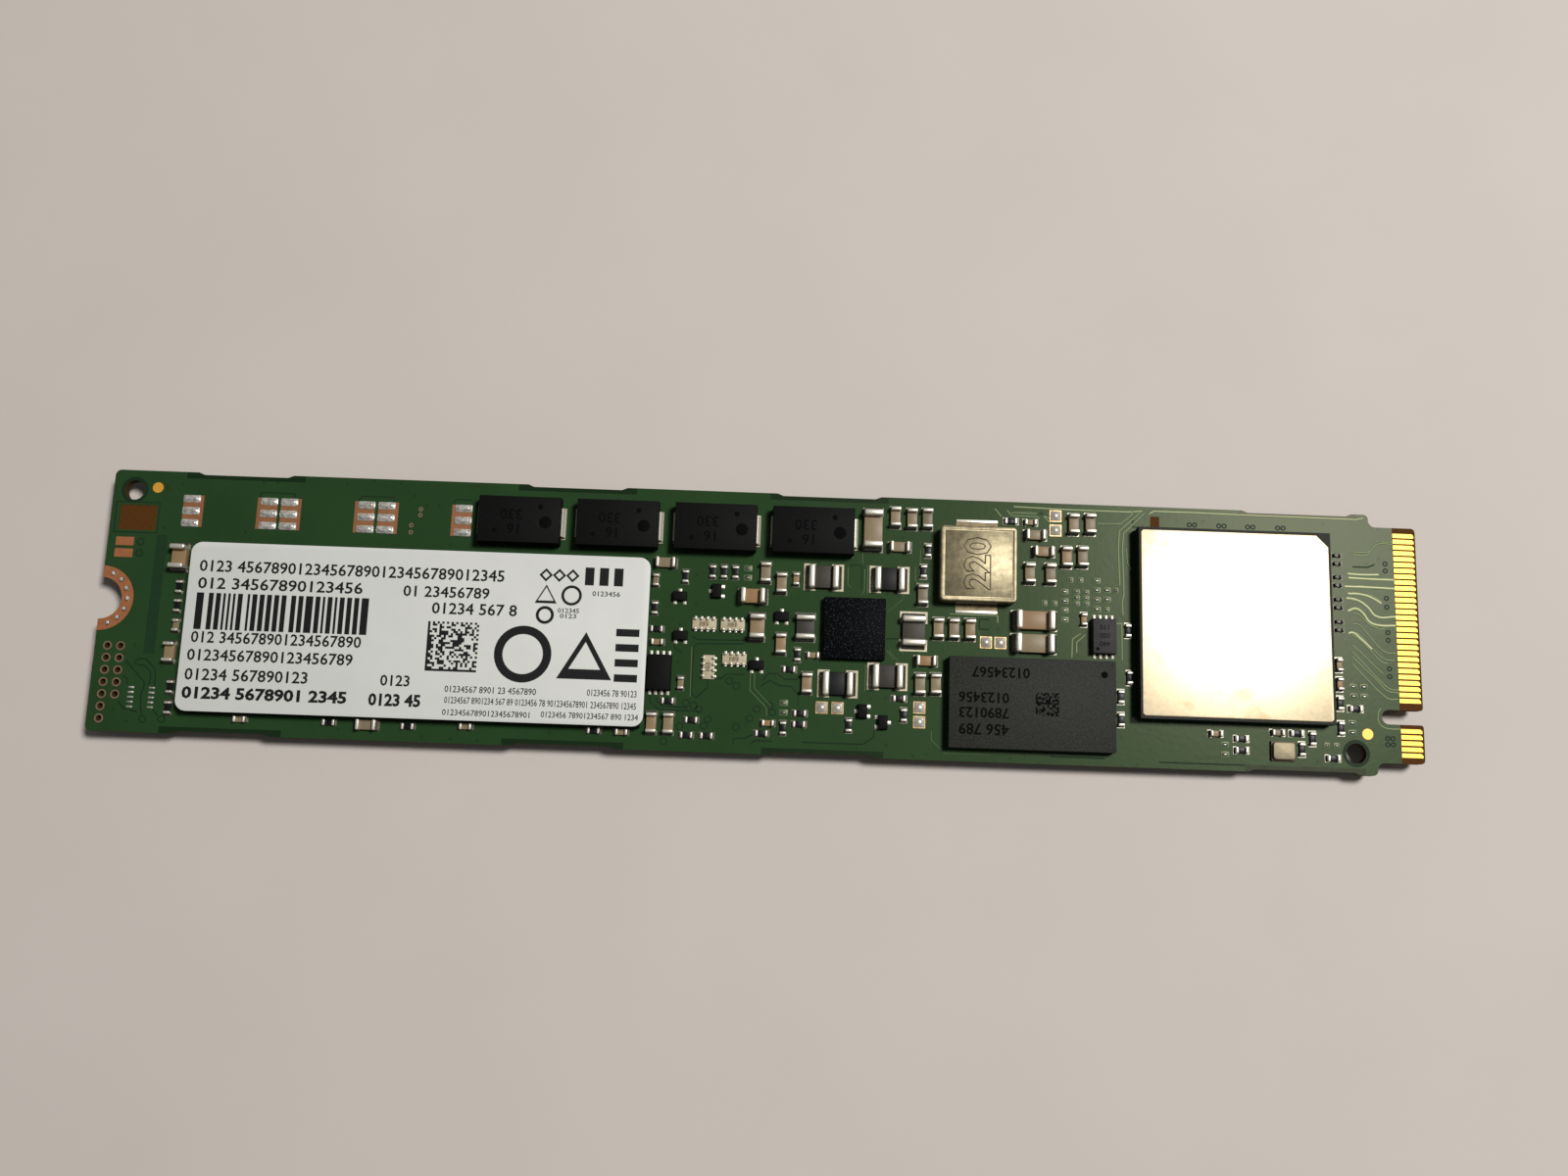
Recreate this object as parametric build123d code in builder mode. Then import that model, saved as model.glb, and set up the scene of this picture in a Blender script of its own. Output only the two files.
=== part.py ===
from build123d import *
import os

# A gumstick solid state drive of the 22 mm by 110 mm class: a bare circuit board with parts on both faces.
# Millimetres. +X points to the edge connector, +Y to its first finger and +Z up.
# The drive lies on its lower packages: z = 0 is what it lies on, x = y = 0 is the middle of the board.

# Fields along the board, which add up to the standard length of 110 mm: screw end, flash packages,
# power circuits, memory package, controller and connector end
screw_field = 7.9
power_lead = 9.7
controller_gap = 1.95
connector_field = 7.85

# Circuit board outline
board_width = 22.0
board_thickness = 0.8
board_corner_radius = 0.5
tongue_length = 4.0
tongue_step = 1.075
shoulder_radius = 0.4
tongue_root_radius = 0.6
nose_radius = 0.45
nose_bevel = 0.12
key_notch_offset = 6.125
key_notch_width = 1.2
key_notch_depth = 3.5
key_notch_mouth_radius = 0.3
edge_recess_depth = 0.2
edge_recess_ramp = 0.5

# Holes, screw notch and mask windows
screw_notch_radius = 1.75
screw_ring_radius = 2.72
tooling_hole_radius = 0.85
test_hole_radius = 0.25
test_hole_pitch = 1.0
mask_window_depth = 0.03
fiducial_radius = 0.45

# Edge connector fingers
finger_pitch = 0.5
finger_width = 0.35
finger_length = 1.76
finger_nose_gap = 0.22
finger_corner = 0.15
first_finger_offset = 9.25
fingers_above_key = 29
top_fingers_below_key = 5
under_fingers_below_key = 4
fingers_lost_to_key = 4

# Copper and solder thicknesses
copper_thickness = 0.04
solder_bar_height = 0.12
dome_height = 0.16
dome_taper = 35

# Ball grid packages
ball_height = 0.22
ball_radius = 0.2
ball_inset = 0.9
ball_spacing = 2.5
substrate_thickness = 0.2

flash_length = 18.0
flash_width = 14.0
flash_height = 1.15
flash_gap = 1.4
flash_margin = 1.8

label_overhang = 0.3
label_thickness = 0.1
label_corner_radius = 0.9

memory_length = 13.7
memory_width = 7.5
memory_height = 1.15
memory_offset = 22.35
memory_y = -6.2

controller_side = 16.0
controller_height = 1.4
controller_y = 0.95
spreader_side_margin = 0.15
spreader_end_margin = 0.2
spreader_thickness = 0.3
spreader_index_corner = 1.0
spreader_corner = 0.2

power_chip_side = 5.1
power_chip_height = 0.8
power_chip_offset = 7.65
power_chip_y = -0.4

# Power inductor
inductor_side = 6.4
inductor_height = 1.35
inductor_corner_radius = 0.35
inductor_top_chamfer = 0.08
inductor_rim = 0.3
inductor_groove_width = 0.14
inductor_groove_depth = 0.06
inductor_terminal_width = 3.5
inductor_terminal_thickness = 0.15
inductor_terminal_rise = 0.6
inductor_foot = 1.3
inductor_land_reach = 0.8
inductor_offset = 17.8
inductor_y = 5.3

# Hold-up capacitors
holdup_row_clearance = 5.5
holdup_filled_places = 4
holdup_pitch = 8.18
holdup_edge_distance = 3.35
holdup_last_offset = 4.0
holdup_length = 6.9
holdup_width = 4.0
holdup_height = 1.3
holdup_parting_share = 0.45
holdup_draft = 5
holdup_terminal_width = 2.4
holdup_terminal_thickness = 0.12
holdup_foot = 1.3
holdup_land_length = 1.7
holdup_land_width = 2.7
holdup_land_reach = 3.95
holdup_land_bare_strip = 0.3
holdup_bar_width = 0.62
holdup_bars = 3

# Chip sizes: overall length, width, height and the length of each plated end
capacitor_1206 = dict(length=3.2, width=1.6, height=1.2, end=0.5)
capacitor_0805 = dict(length=2.0, width=1.25, height=1.2, end=0.4)
capacitor_0603 = dict(length=1.6, width=0.85, height=0.8, end=0.3)
capacitor_0402 = dict(length=1.0, width=0.5, height=0.5, end=0.22)
capacitor_0201 = dict(length=0.6, width=0.3, height=0.3, end=0.15)
resistor_0402 = dict(length=1.0, width=0.5, height=0.35, end=0.2)
power_chip_inductor = dict(length=2.5, width=2.0, height=1.0, end=0.55)
small_chip_inductor = dict(length=2.0, width=1.6, height=0.9, end=0.4)
plating = 0.03
chip_inductor_land_span = 3.35
chip_inductor_land_length = 1.0
chip_inductor_land_width = 2.3

# Resistor arrays
array_length = 2.0
array_width = 0.7
array_height = 0.45
array_terminal_pitch = 0.5
array_terminal_width = 0.3
array_terminal_depth = 0.16
array_terminals_a_side = 4

# Leaded chips
transistor_length = 1.2
transistor_width = 0.8
transistor_height = 0.5
transistor_lead_width = 0.25
transistor_lead_reach = 0.22
transistor_lead_thickness = 0.12
transistor_pair_pitch = 0.8
leaded_chip_width = 2.0
leaded_chip_length = 3.0
leaded_chip_height = 0.8
leaded_chip_pitch = 0.5
leaded_chip_leads_a_side = 4
leaded_chip_lead_width = 0.22
leaded_chip_lead_reach = 0.28
leaded_chip_lead_thickness = 0.15

# Crystal
crystal_length = 2.0
crystal_width = 1.6
crystal_base_height = 0.25
crystal_can_height = 0.25
crystal_can_margin = 0.1
crystal_can_radius = 0.25

# Jumper pads, bare pads and test pads
jumper_pad_side = 1.0
jumper_solder_side = 0.8
bare_pad_length = 0.55
bare_pad_width = 0.36
bare_pad_spacing = 0.8
tiny_pad_length = 0.45
tiny_pad_width = 0.15
tiny_pad_pitch = 0.4
test_pad_length = 1.5
test_pad_width = 0.73

# Datums that the pieces share; the places of the power circuits are given from power_x
flash_span = 2 * flash_length + flash_gap
power_field = power_lead + memory_offset + memory_length / 2 + controller_gap
board_length = screw_field + flash_span + power_field + controller_side + connector_field
left_end = -board_length / 2
tip = board_length / 2
top_edge = board_width / 2
tongue_root = tip - tongue_length
tongue_edge = top_edge - tongue_step
board_bottom = max(flash_height, memory_height)
board_top = board_bottom + board_thickness
land_top = board_top + copper_thickness
top_face = Plane.XY.offset(board_top)
under_face = Plane(origin=(0, 0, board_bottom), x_dir=(1, 0, 0), z_dir=(0, 0, -1))
on_seat = (Align.CENTER, Align.CENTER, Align.MIN)

flash_centre_x = left_end + screw_field + flash_span / 2
flash_row_y = flash_margin + flash_width / 2 - top_edge
flash_centres = [
    (flash_centre_x - (flash_length + flash_gap) / 2, flash_row_y),
    (flash_centre_x + (flash_length + flash_gap) / 2, flash_row_y),
]
power_x = left_end + screw_field + flash_span + power_lead
power_chip_x = power_x + power_chip_offset
inductor_x = power_x + inductor_offset
memory_x = power_x + memory_offset
controller_x = tip - connector_field - controller_side / 2
label_length = flash_span + 2 * label_overhang
spreader_length = controller_side - 2 * spreader_side_margin
spreader_width = controller_side - 2 * spreader_end_margin
controller_centre = (controller_x, controller_y)
tooling_holes = [(left_end + 1.77, 9.3), (tip - 5.74, -9.22)]
fiducial_places = [(left_end + 3.7, 9.55), (tip - 4.75, -7.6)]
holdup_y = top_edge - holdup_edge_distance
holdup_last_x = power_x + holdup_last_offset
holdup_row = holdup_last_x - holdup_land_reach - left_end - holdup_row_clearance
holdup_xs = [holdup_last_x - holdup_pitch * step for step in range(int(holdup_row / holdup_pitch) + 1)]

os.makedirs("parts", exist_ok=True)


def on_board(face, places):
    # The underside's plane is turned over, so its y runs the other way
    return [(x, y * face.y_dir.Y) for x, y in places]


def chip_places(height, along_x=(), along_y=()):
    level = [Location((x, y, height)) for x, y in along_x]
    turned = [Location((x, y, height), (0, 0, 90)) for x, y in along_y]
    return level + turned


# Circuit board: one laminate with its tongue, key notch, screw notch, edge recesses, holes and mask windows
edge_recesses = [(left_end + 7.0, 8.0), (power_x - 20.2, 8.4), (power_x + 0.9, 8.8), (tip - 14.7, 9.3)]
mask_windows = [((left_end + 2.3, 6.93), (3.05, 2.14)), ((tip - 22.14, 9.7), (0.76, 0.93))]
test_holes = [(left_end + 1.05, -3.95 - test_hole_pitch * row) for row in range(7)]
test_holes += [(left_end + 2.13, -3.95 - test_hole_pitch * row) for row in range(5)]

with BuildPart() as circuit_board:
    with BuildSketch(Plane.XY.offset(board_bottom)):
        with BuildLine():
            FilletPolyline(
                (left_end, -top_edge),
                (tongue_root, -top_edge),
                (tongue_root, -tongue_edge),
                (tip, -tongue_edge),
                (tip, tongue_edge),
                (tongue_root, tongue_edge),
                (tongue_root, top_edge),
                (left_end, top_edge),
                radius=[
                    board_corner_radius,
                    shoulder_radius,
                    tongue_root_radius,
                    nose_radius,
                    nose_radius,
                    tongue_root_radius,
                    shoulder_radius,
                    board_corner_radius,
                ],
                close=True,
            )
        make_face()
        for start, length in edge_recesses:
            for side in (1, -1):
                with BuildLine():
                    Polyline(
                        (start, side * top_edge),
                        (start + edge_recess_ramp, side * (top_edge - edge_recess_depth)),
                        (start + length - edge_recess_ramp, side * (top_edge - edge_recess_depth)),
                        (start + length, side * top_edge),
                        close=True,
                    )
                make_face(mode=Mode.SUBTRACT)
        notch_arc_x = tip - key_notch_depth + key_notch_width / 2
        with Locations((notch_arc_x, -key_notch_offset)):
            Circle(key_notch_width / 2, mode=Mode.SUBTRACT)
            Rectangle(
                key_notch_depth,
                key_notch_width,
                align=(Align.MIN, Align.CENTER),
                mode=Mode.SUBTRACT,
            )
        mouth = vertices().group_by(Axis.X)[-1].sort_by(Axis.Y)[1:3]
        fillet(mouth, key_notch_mouth_radius)
        with Locations((left_end, 0)):
            Circle(screw_notch_radius, mode=Mode.SUBTRACT)
        with Locations(*tooling_holes):
            Circle(tooling_hole_radius, mode=Mode.SUBTRACT)
        with Locations(*test_holes):
            Circle(test_hole_radius, mode=Mode.SUBTRACT)
    extrude(amount=board_thickness)
    with BuildSketch(Plane.XZ):
        for level, inward in ((board_top, -1), (board_bottom, 1)):
            with BuildLine():
                Polyline(
                    (tip - nose_bevel, level),
                    (tip, level),
                    (tip, level + inward * nose_bevel),
                    close=True,
                )
            make_face()
    extrude(amount=tongue_edge, both=True, mode=Mode.SUBTRACT)
    with BuildSketch(top_face):
        for centre, size in mask_windows:
            with Locations(centre):
                Rectangle(*size)
    extrude(amount=-mask_window_depth, mode=Mode.SUBTRACT)
circuit_board.part.label = "circuit_board"
export_step(circuit_board.part, "parts/circuit_board.step")


# Edge connector fingers: gold strips with one clipped corner, the lower row half a pitch over
def finger_places(first, above_key, below_key):
    gap = above_key + fingers_lost_to_key
    rows = list(range(above_key)) + list(range(gap, gap + below_key))
    return [(tip - finger_nose_gap, first - finger_pitch * row) for row in rows]


first_under_finger_offset = first_finger_offset - finger_pitch / 2
finger_rows = [
    ("connector_fingers_top", top_face, first_finger_offset, top_fingers_below_key),
    ("connector_fingers_under", under_face, first_under_finger_offset, under_fingers_below_key),
]
for name, face, first, below_key in finger_rows:
    with BuildPart() as fingers:
        with BuildSketch(face):
            with Locations(*on_board(face, finger_places(first, fingers_above_key, below_key))):
                Polygon(
                    (-finger_length, -finger_width / 2),
                    (0, -finger_width / 2),
                    (0, finger_width / 2 - finger_corner),
                    (-finger_corner, finger_width / 2),
                    (-finger_length, finger_width / 2),
                    align=None,
                )
        extrude(amount=copper_thickness)
    fingers.part.label = name
    export_step(fingers.part, f"parts/{name}.step")

# Copper ring round the screw notch, on both faces
for name, face in (("screw_ring_top", top_face), ("screw_ring_under", under_face)):
    with BuildPart() as ring:
        with BuildSketch(face):
            with Locations((left_end, 0)):
                Circle(screw_ring_radius)
                Circle(screw_notch_radius, mode=Mode.SUBTRACT)
                Rectangle(
                    screw_ring_radius,
                    2 * screw_ring_radius,
                    align=(Align.MAX, Align.CENTER),
                    mode=Mode.SUBTRACT,
                )
        extrude(amount=copper_thickness)
    ring.part.label = name
    export_step(ring.part, f"parts/{name}.step")

# Gold fiducial dots
with BuildPart() as fiducials:
    with BuildSketch(top_face):
        with Locations(*fiducial_places):
            Circle(fiducial_radius)
    extrude(amount=copper_thickness)
fiducials.part.label = "fiducials"
export_step(fiducials.part, "parts/fiducials.step")

# Bare copper pads beside the screw notch
with BuildPart() as copper_test_pads:
    with BuildSketch(top_face):
        with Locations((left_end + 1.45, 4.87), (left_end + 1.45, 3.87)):
            Rectangle(test_pad_length, test_pad_width)
    extrude(amount=copper_thickness)
copper_test_pads.part.label = "copper_test_pads"
export_step(copper_test_pads.part, "parts/copper_test_pads.step")

# Tinned pads of places that are left empty: pairs with their pads above each other, singles and a tiny row
empty_pairs = [
    (power_x - 1.37, 4.05),
    (power_x + 2, -7.13),
    (power_x + 25.2, 3.03),
    (power_x + 25.2, 1.45),
    (power_x + 27.9, 4.05),
    (power_x + 27.9, 2.43),
    (power_x + 28.75, 3.28),
    (tip - 16.6, -9.28),
    (tip - 5.8, -4.1),
    (tip - 4.9, -4.1),
    (tip - 6.0, -7.13),
]
single_pads = [
    (power_x + 28.75, 2.03),
    (power_x + 29.5, 3.68),
    (power_x + 25.7, 4.45),
    (power_x + 26.55, 4.45),
    (power_x + 23.5, 2.4),
    (power_x + 24.35, 2.4),
    (tip - 24.05, -7.1),
    (tip - 8.15, -8.65),
    (tip - 7.35, -8.65),
]
matrix_centre = (power_x + 26.6, 2.95)
tiny_row_centre = (left_end + 4.25, -8.13)
with BuildPart() as bare_solder_pads:
    with BuildSketch(top_face):
        with Locations(*empty_pairs):
            with GridLocations(0, bare_pad_spacing, 1, 2):
                Rectangle(bare_pad_length, bare_pad_width)
        with Locations(*single_pads):
            Rectangle(bare_pad_width, bare_pad_width)
        with Locations(matrix_centre):
            with GridLocations(0.8, 0.5, 2, 3):
                Rectangle(tiny_pad_length, 2 * tiny_pad_width)
        with Locations(tiny_row_centre):
            with GridLocations(1.7, tiny_pad_pitch, 2, 5):
                Rectangle(tiny_pad_length, tiny_pad_width)
    extrude(amount=copper_thickness)
bare_solder_pads.part.label = "bare_solder_pads"
export_step(bare_solder_pads.part, "parts/bare_solder_pads.step")

# Jumper pads: square copper with a solder dome on each
jumper_places = [
    (power_x + 5.15, -7.0),
    (power_x + 6.45, -7.0),
    (power_x + 13.2, -6.72),
    (power_x + 13.2, -7.92),
    (power_x + 18.65, -1.1),
    (power_x + 19.85, -1.1),
    (power_x + 24.45, 9.9),
    (power_x + 24.45, 8.65),
]
with BuildPart() as jumper_pads:
    with BuildSketch(top_face):
        with Locations(*jumper_places):
            Rectangle(jumper_pad_side, jumper_pad_side)
    extrude(amount=copper_thickness)
jumper_pads.part.label = "jumper_pads"
export_step(jumper_pads.part, "parts/jumper_pads.step")

with BuildPart() as jumper_solder:
    with BuildSketch(Plane.XY.offset(land_top)):
        with Locations(*jumper_places):
            Rectangle(jumper_solder_side, jumper_solder_side)
    extrude(amount=dome_height, taper=dome_taper)
jumper_solder.part.label = "jumper_solder"
export_step(jumper_solder.part, "parts/jumper_solder.step")


# Ball grid packages: rows of solder balls, a thin substrate and the mould on it
def ball_grid_package(name, faces, centres, length, width, height):
    balls_in_row = int((length - 2 * ball_inset) / ball_spacing) + 1
    with BuildPart() as balls:
        for face in faces:
            with BuildSketch(face):
                with Locations(*on_board(face, centres)):
                    with GridLocations(ball_spacing, width - 2 * ball_inset, balls_in_row, 2):
                        RegularPolygon(ball_radius, 6)
            extrude(amount=ball_height)
    balls.part.label = f"{name}_solder_balls"
    export_step(balls.part, f"parts/{name}_solder_balls.step")

    with BuildPart() as substrates:
        for face in faces:
            with BuildSketch(face.offset(ball_height)):
                with Locations(*on_board(face, centres)):
                    Rectangle(length, width)
            extrude(amount=substrate_thickness)
    substrates.part.label = f"{name}_substrates"
    export_step(substrates.part, f"parts/{name}_substrates.step")

    mould_foot = ball_height + substrate_thickness
    with BuildPart() as moulds:
        for face in faces:
            with BuildSketch(face.offset(mould_foot)):
                with Locations(*on_board(face, centres)):
                    Rectangle(length, width)
            extrude(amount=height - mould_foot)
    moulds.part.label = f"{name}_moulds"
    export_step(moulds.part, f"parts/{name}_moulds.step")


both_faces = (top_face, under_face)
ball_grid_package("flash", both_faces, flash_centres, flash_length, flash_width, flash_height)
ball_grid_package(
    "memory", both_faces, [(memory_x, memory_y)], memory_length, memory_width, memory_height
)

# Label bridging the two upper flash packages
with BuildPart() as label_sheet:
    with BuildSketch(Plane.XY.offset(board_top + flash_height)):
        with Locations((flash_centre_x, flash_row_y)):
            RectangleRounded(label_length, flash_width, label_corner_radius)
    extrude(amount=label_thickness)
label_sheet.part.label = "label"
export_step(label_sheet.part, "parts/label.step")

# Controller: balls, substrate, mould with a pocket, and the metal heat spreader flush in its top
controller_ball_span = controller_side - 2 * ball_inset
controller_balls_a_side = int(controller_ball_span / ball_spacing) + 1
controller_ball_pitch = controller_ball_span / (controller_balls_a_side - 1)
with BuildPart() as controller_solder_balls:
    with BuildSketch(top_face):
        with Locations(controller_centre):
            with GridLocations(controller_ball_pitch, controller_ball_span, controller_balls_a_side, 2):
                RegularPolygon(ball_radius, 6)
            with GridLocations(controller_ball_span, controller_ball_pitch, 2, controller_balls_a_side - 2):
                RegularPolygon(ball_radius, 6)
    extrude(amount=ball_height)
controller_solder_balls.part.label = "controller_solder_balls"
export_step(controller_solder_balls.part, "parts/controller_solder_balls.step")

with BuildPart() as controller_substrate:
    with BuildSketch(top_face.offset(ball_height)):
        with Locations(controller_centre):
            Rectangle(controller_side, controller_side)
    extrude(amount=substrate_thickness)
controller_substrate.part.label = "controller_substrate"
export_step(controller_substrate.part, "parts/controller_substrate.step")


def spreader_outline():
    with BuildSketch(top_face.offset(controller_height - spreader_thickness)) as outline:
        with Locations(controller_centre):
            Rectangle(spreader_length, spreader_width)
        corners = vertices().sort_by(Axis((0, 0, 0), (1, 1, 0)))
        chamfer(corners[:3], spreader_corner)
        chamfer(vertices().sort_by(Axis((0, 0, 0), (1, 1, 0)))[-1], spreader_index_corner)
    return outline.sketch


with BuildPart() as controller_mould:
    with BuildSketch(top_face.offset(ball_height + substrate_thickness)):
        with Locations(controller_centre):
            Rectangle(controller_side, controller_side)
    extrude(amount=controller_height - ball_height - substrate_thickness)
    extrude(spreader_outline(), amount=spreader_thickness, mode=Mode.SUBTRACT)
controller_mould.part.label = "controller_mould"
export_step(controller_mould.part, "parts/controller_mould.step")

with BuildPart() as controller_heat_spreader:
    extrude(spreader_outline(), amount=spreader_thickness)
controller_heat_spreader.part.label = "controller_heat_spreader"
export_step(controller_heat_spreader.part, "parts/controller_heat_spreader.step")

# Power management chip
with BuildPart() as power_chip:
    with BuildSketch(top_face):
        with Locations((power_chip_x, power_chip_y)):
            Rectangle(power_chip_side, power_chip_side)
    extrude(amount=power_chip_height)
power_chip.part.label = "power_chip"
export_step(power_chip.part, "parts/power_chip.step")

# Power inductor: moulded core with a grooved rim, and a bent terminal let into each of two sides
core_foot = land_top + inductor_terminal_thickness
core_top = land_top + inductor_height
with BuildPart() as power_inductor_core:
    with BuildSketch(Plane.XY.offset(core_foot)):
        with Locations((inductor_x, inductor_y)):
            RectangleRounded(inductor_side, inductor_side, inductor_corner_radius)
    extrude(amount=core_top - core_foot)
    chamfer(faces().sort_by(Axis.Z)[-1].edges(), inductor_top_chamfer)
    with BuildSketch(Plane.XY.offset(core_top)):
        with Locations((inductor_x, inductor_y)):
            groove_side = inductor_side - 2 * inductor_rim
            field_side = groove_side - 2 * inductor_groove_width
            Rectangle(groove_side, groove_side)
            Rectangle(field_side, field_side, mode=Mode.SUBTRACT)
    extrude(amount=-inductor_groove_depth, mode=Mode.SUBTRACT)
    with BuildSketch(Plane.XY.offset(core_foot)):
        with Locations((inductor_x, inductor_y)):
            with GridLocations(0, inductor_side - inductor_terminal_thickness, 1, 2):
                Rectangle(inductor_terminal_width, inductor_terminal_thickness)
    extrude(amount=inductor_terminal_rise - inductor_terminal_thickness, mode=Mode.SUBTRACT)
power_inductor_core.part.label = "power_inductor_core"
export_step(power_inductor_core.part, "parts/power_inductor_core.step")

with BuildPart() as power_inductor_terminals:
    with BuildSketch(Plane.YZ.offset(inductor_x - inductor_terminal_width / 2)):
        for side in (1, -1):
            outer = inductor_y + side * inductor_side / 2
            with BuildLine():
                Polyline(
                    (outer, land_top),
                    (outer, land_top + inductor_terminal_rise),
                    (outer - side * inductor_terminal_thickness, land_top + inductor_terminal_rise),
                    (outer - side * inductor_terminal_thickness, core_foot),
                    (outer - side * inductor_foot, core_foot),
                    (outer - side * inductor_foot, land_top),
                    close=True,
                )
            make_face()
    extrude(amount=inductor_terminal_width)
power_inductor_terminals.part.label = "power_inductor_terminals"
export_step(power_inductor_terminals.part, "parts/power_inductor_terminals.step")

inductor_land_length = inductor_land_reach + inductor_foot
with BuildPart() as power_inductor_lands:
    with BuildSketch(top_face):
        with Locations((inductor_x, inductor_y)):
            with GridLocations(0, inductor_side + inductor_land_reach - inductor_foot, 1, 2):
                Rectangle(inductor_terminal_width, inductor_land_length)
    extrude(amount=copper_thickness)
power_inductor_lands.part.label = "power_inductor_lands"
export_step(power_inductor_lands.part, "parts/power_inductor_lands.step")

# Hold-up capacitors: lands at every place, solder bars on the empty ones, body and terminals on the rest
filled_centres = [(x, holdup_y) for x in holdup_xs[:holdup_filled_places]]
empty_centres = [(x, holdup_y) for x in holdup_xs[holdup_filled_places:]]
land_centre = holdup_land_reach - holdup_land_length / 2
with BuildPart() as holdup_capacitor_lands:
    with BuildSketch(top_face):
        with Locations(*[(x, holdup_y) for x in holdup_xs]):
            with GridLocations(2 * land_centre, 0, 2, 1):
                Rectangle(holdup_land_length, holdup_land_width)
    extrude(amount=copper_thickness)
holdup_capacitor_lands.part.label = "holdup_capacitor_lands"
export_step(holdup_capacitor_lands.part, "parts/holdup_capacitor_lands.step")

bar_length = holdup_land_length - holdup_land_bare_strip
bar_centre = holdup_land_reach - bar_length / 2
bar_pitch = (holdup_land_width - holdup_bar_width) / (holdup_bars - 1)
with BuildPart() as holdup_land_solder:
    with BuildSketch(Plane.XY.offset(land_top)):
        with Locations(*empty_centres):
            with GridLocations(2 * bar_centre, bar_pitch, 2, holdup_bars):
                Rectangle(bar_length, holdup_bar_width)
    extrude(amount=solder_bar_height, taper=dome_taper)
holdup_land_solder.part.label = "holdup_land_solder"
export_step(holdup_land_solder.part, "parts/holdup_land_solder.step")

holdup_foot_top = land_top + holdup_terminal_thickness
holdup_parting = holdup_foot_top + holdup_parting_share * holdup_height
with BuildPart() as holdup_capacitor_bodies:
    with BuildSketch(Plane.XY.offset(holdup_parting)):
        with Locations(*filled_centres):
            Rectangle(holdup_length, holdup_width)
    extrude(amount=(1 - holdup_parting_share) * holdup_height, taper=holdup_draft)
    lower_half = Plane(origin=(0, 0, holdup_parting), x_dir=(1, 0, 0), z_dir=(0, 0, -1))
    with BuildSketch(lower_half):
        with Locations(*on_board(lower_half, filled_centres)):
            Rectangle(holdup_length, holdup_width)
    extrude(amount=holdup_parting_share * holdup_height, taper=holdup_draft)
holdup_capacitor_bodies.part.label = "holdup_capacitor_bodies"
export_step(holdup_capacitor_bodies.part, "parts/holdup_capacitor_bodies.step")

with BuildPart() as holdup_capacitor_terminals:
    with BuildSketch(Plane.XZ.offset(-holdup_y - holdup_terminal_width / 2)):
        for centre_x, centre_y in filled_centres:
            for side in (1, -1):
                inner = centre_x + side * holdup_length / 2
                outer = inner + side * holdup_terminal_thickness
                with BuildLine():
                    Polyline(
                        (outer, land_top),
                        (outer, holdup_parting),
                        (inner, holdup_parting),
                        (inner, holdup_foot_top),
                        (inner - side * holdup_foot, holdup_foot_top),
                        (inner - side * holdup_foot, land_top),
                        close=True,
                    )
                make_face()
    extrude(amount=holdup_terminal_width)
holdup_capacitor_terminals.part.label = "holdup_capacitor_terminals"
export_step(holdup_capacitor_terminals.part, "parts/holdup_capacitor_terminals.step")


# Chips whose ends are capped: the plating wraps the ceramic on five sides
def capped_chips(name, chip, places):
    inner_length = chip["length"] - 2 * plating
    inner_width = chip["width"] - 2 * plating
    inner_height = chip["height"] - 2 * plating
    end_offset = (chip["length"] - chip["end"]) / 2
    with BuildPart() as bodies:
        with Locations(*places):
            with Locations((0, 0, plating)):
                Box(inner_length, inner_width, inner_height, align=on_seat)
    bodies.part.label = f"{name}_bodies"
    export_step(bodies.part, f"parts/{name}_bodies.step")

    with BuildPart() as ends:
        with Locations(*places):
            with Locations((end_offset, 0, 0), (-end_offset, 0, 0)):
                Box(chip["end"], chip["width"], chip["height"], align=on_seat)
            with Locations((0, 0, plating)):
                Box(inner_length, inner_width, inner_height, align=on_seat, mode=Mode.SUBTRACT)
    ends.part.label = f"{name}_ends"
    export_step(ends.part, f"parts/{name}_ends.step")


# Small chips whose plated ends are square tips on a shorter body
def tipped_chips(name, chip, places):
    end_offset = (chip["length"] - chip["end"]) / 2
    with BuildPart() as bodies:
        with Locations(*places):
            Box(chip["length"] - 2 * chip["end"], chip["width"], chip["height"], align=on_seat)
    bodies.part.label = f"{name}_bodies"
    export_step(bodies.part, f"parts/{name}_bodies.step")

    with BuildPart() as ends:
        with Locations(*places):
            with Locations((end_offset, 0, 0), (-end_offset, 0, 0)):
                Box(chip["end"], chip["width"], chip["height"], align=on_seat)
    ends.part.label = f"{name}_ends"
    export_step(ends.part, f"parts/{name}_ends.step")


capped_chips(
    "capacitor_1206",
    capacitor_1206,
    chip_places(
        board_top,
        along_x=[(power_x + 22.65, 0.85), (power_x + 22.6, -1.1)],
        along_y=[(power_x + 9.03, 8.1)],
    ),
)

capped_chips(
    "capacitor_0805",
    capacitor_0805,
    chip_places(
        board_top,
        along_x=[(power_x - 0.85, 2.05)],
        along_y=[(left_end + 6.3, 3.6), (power_x - 0.4, -0.5)],
    ),
)

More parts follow.
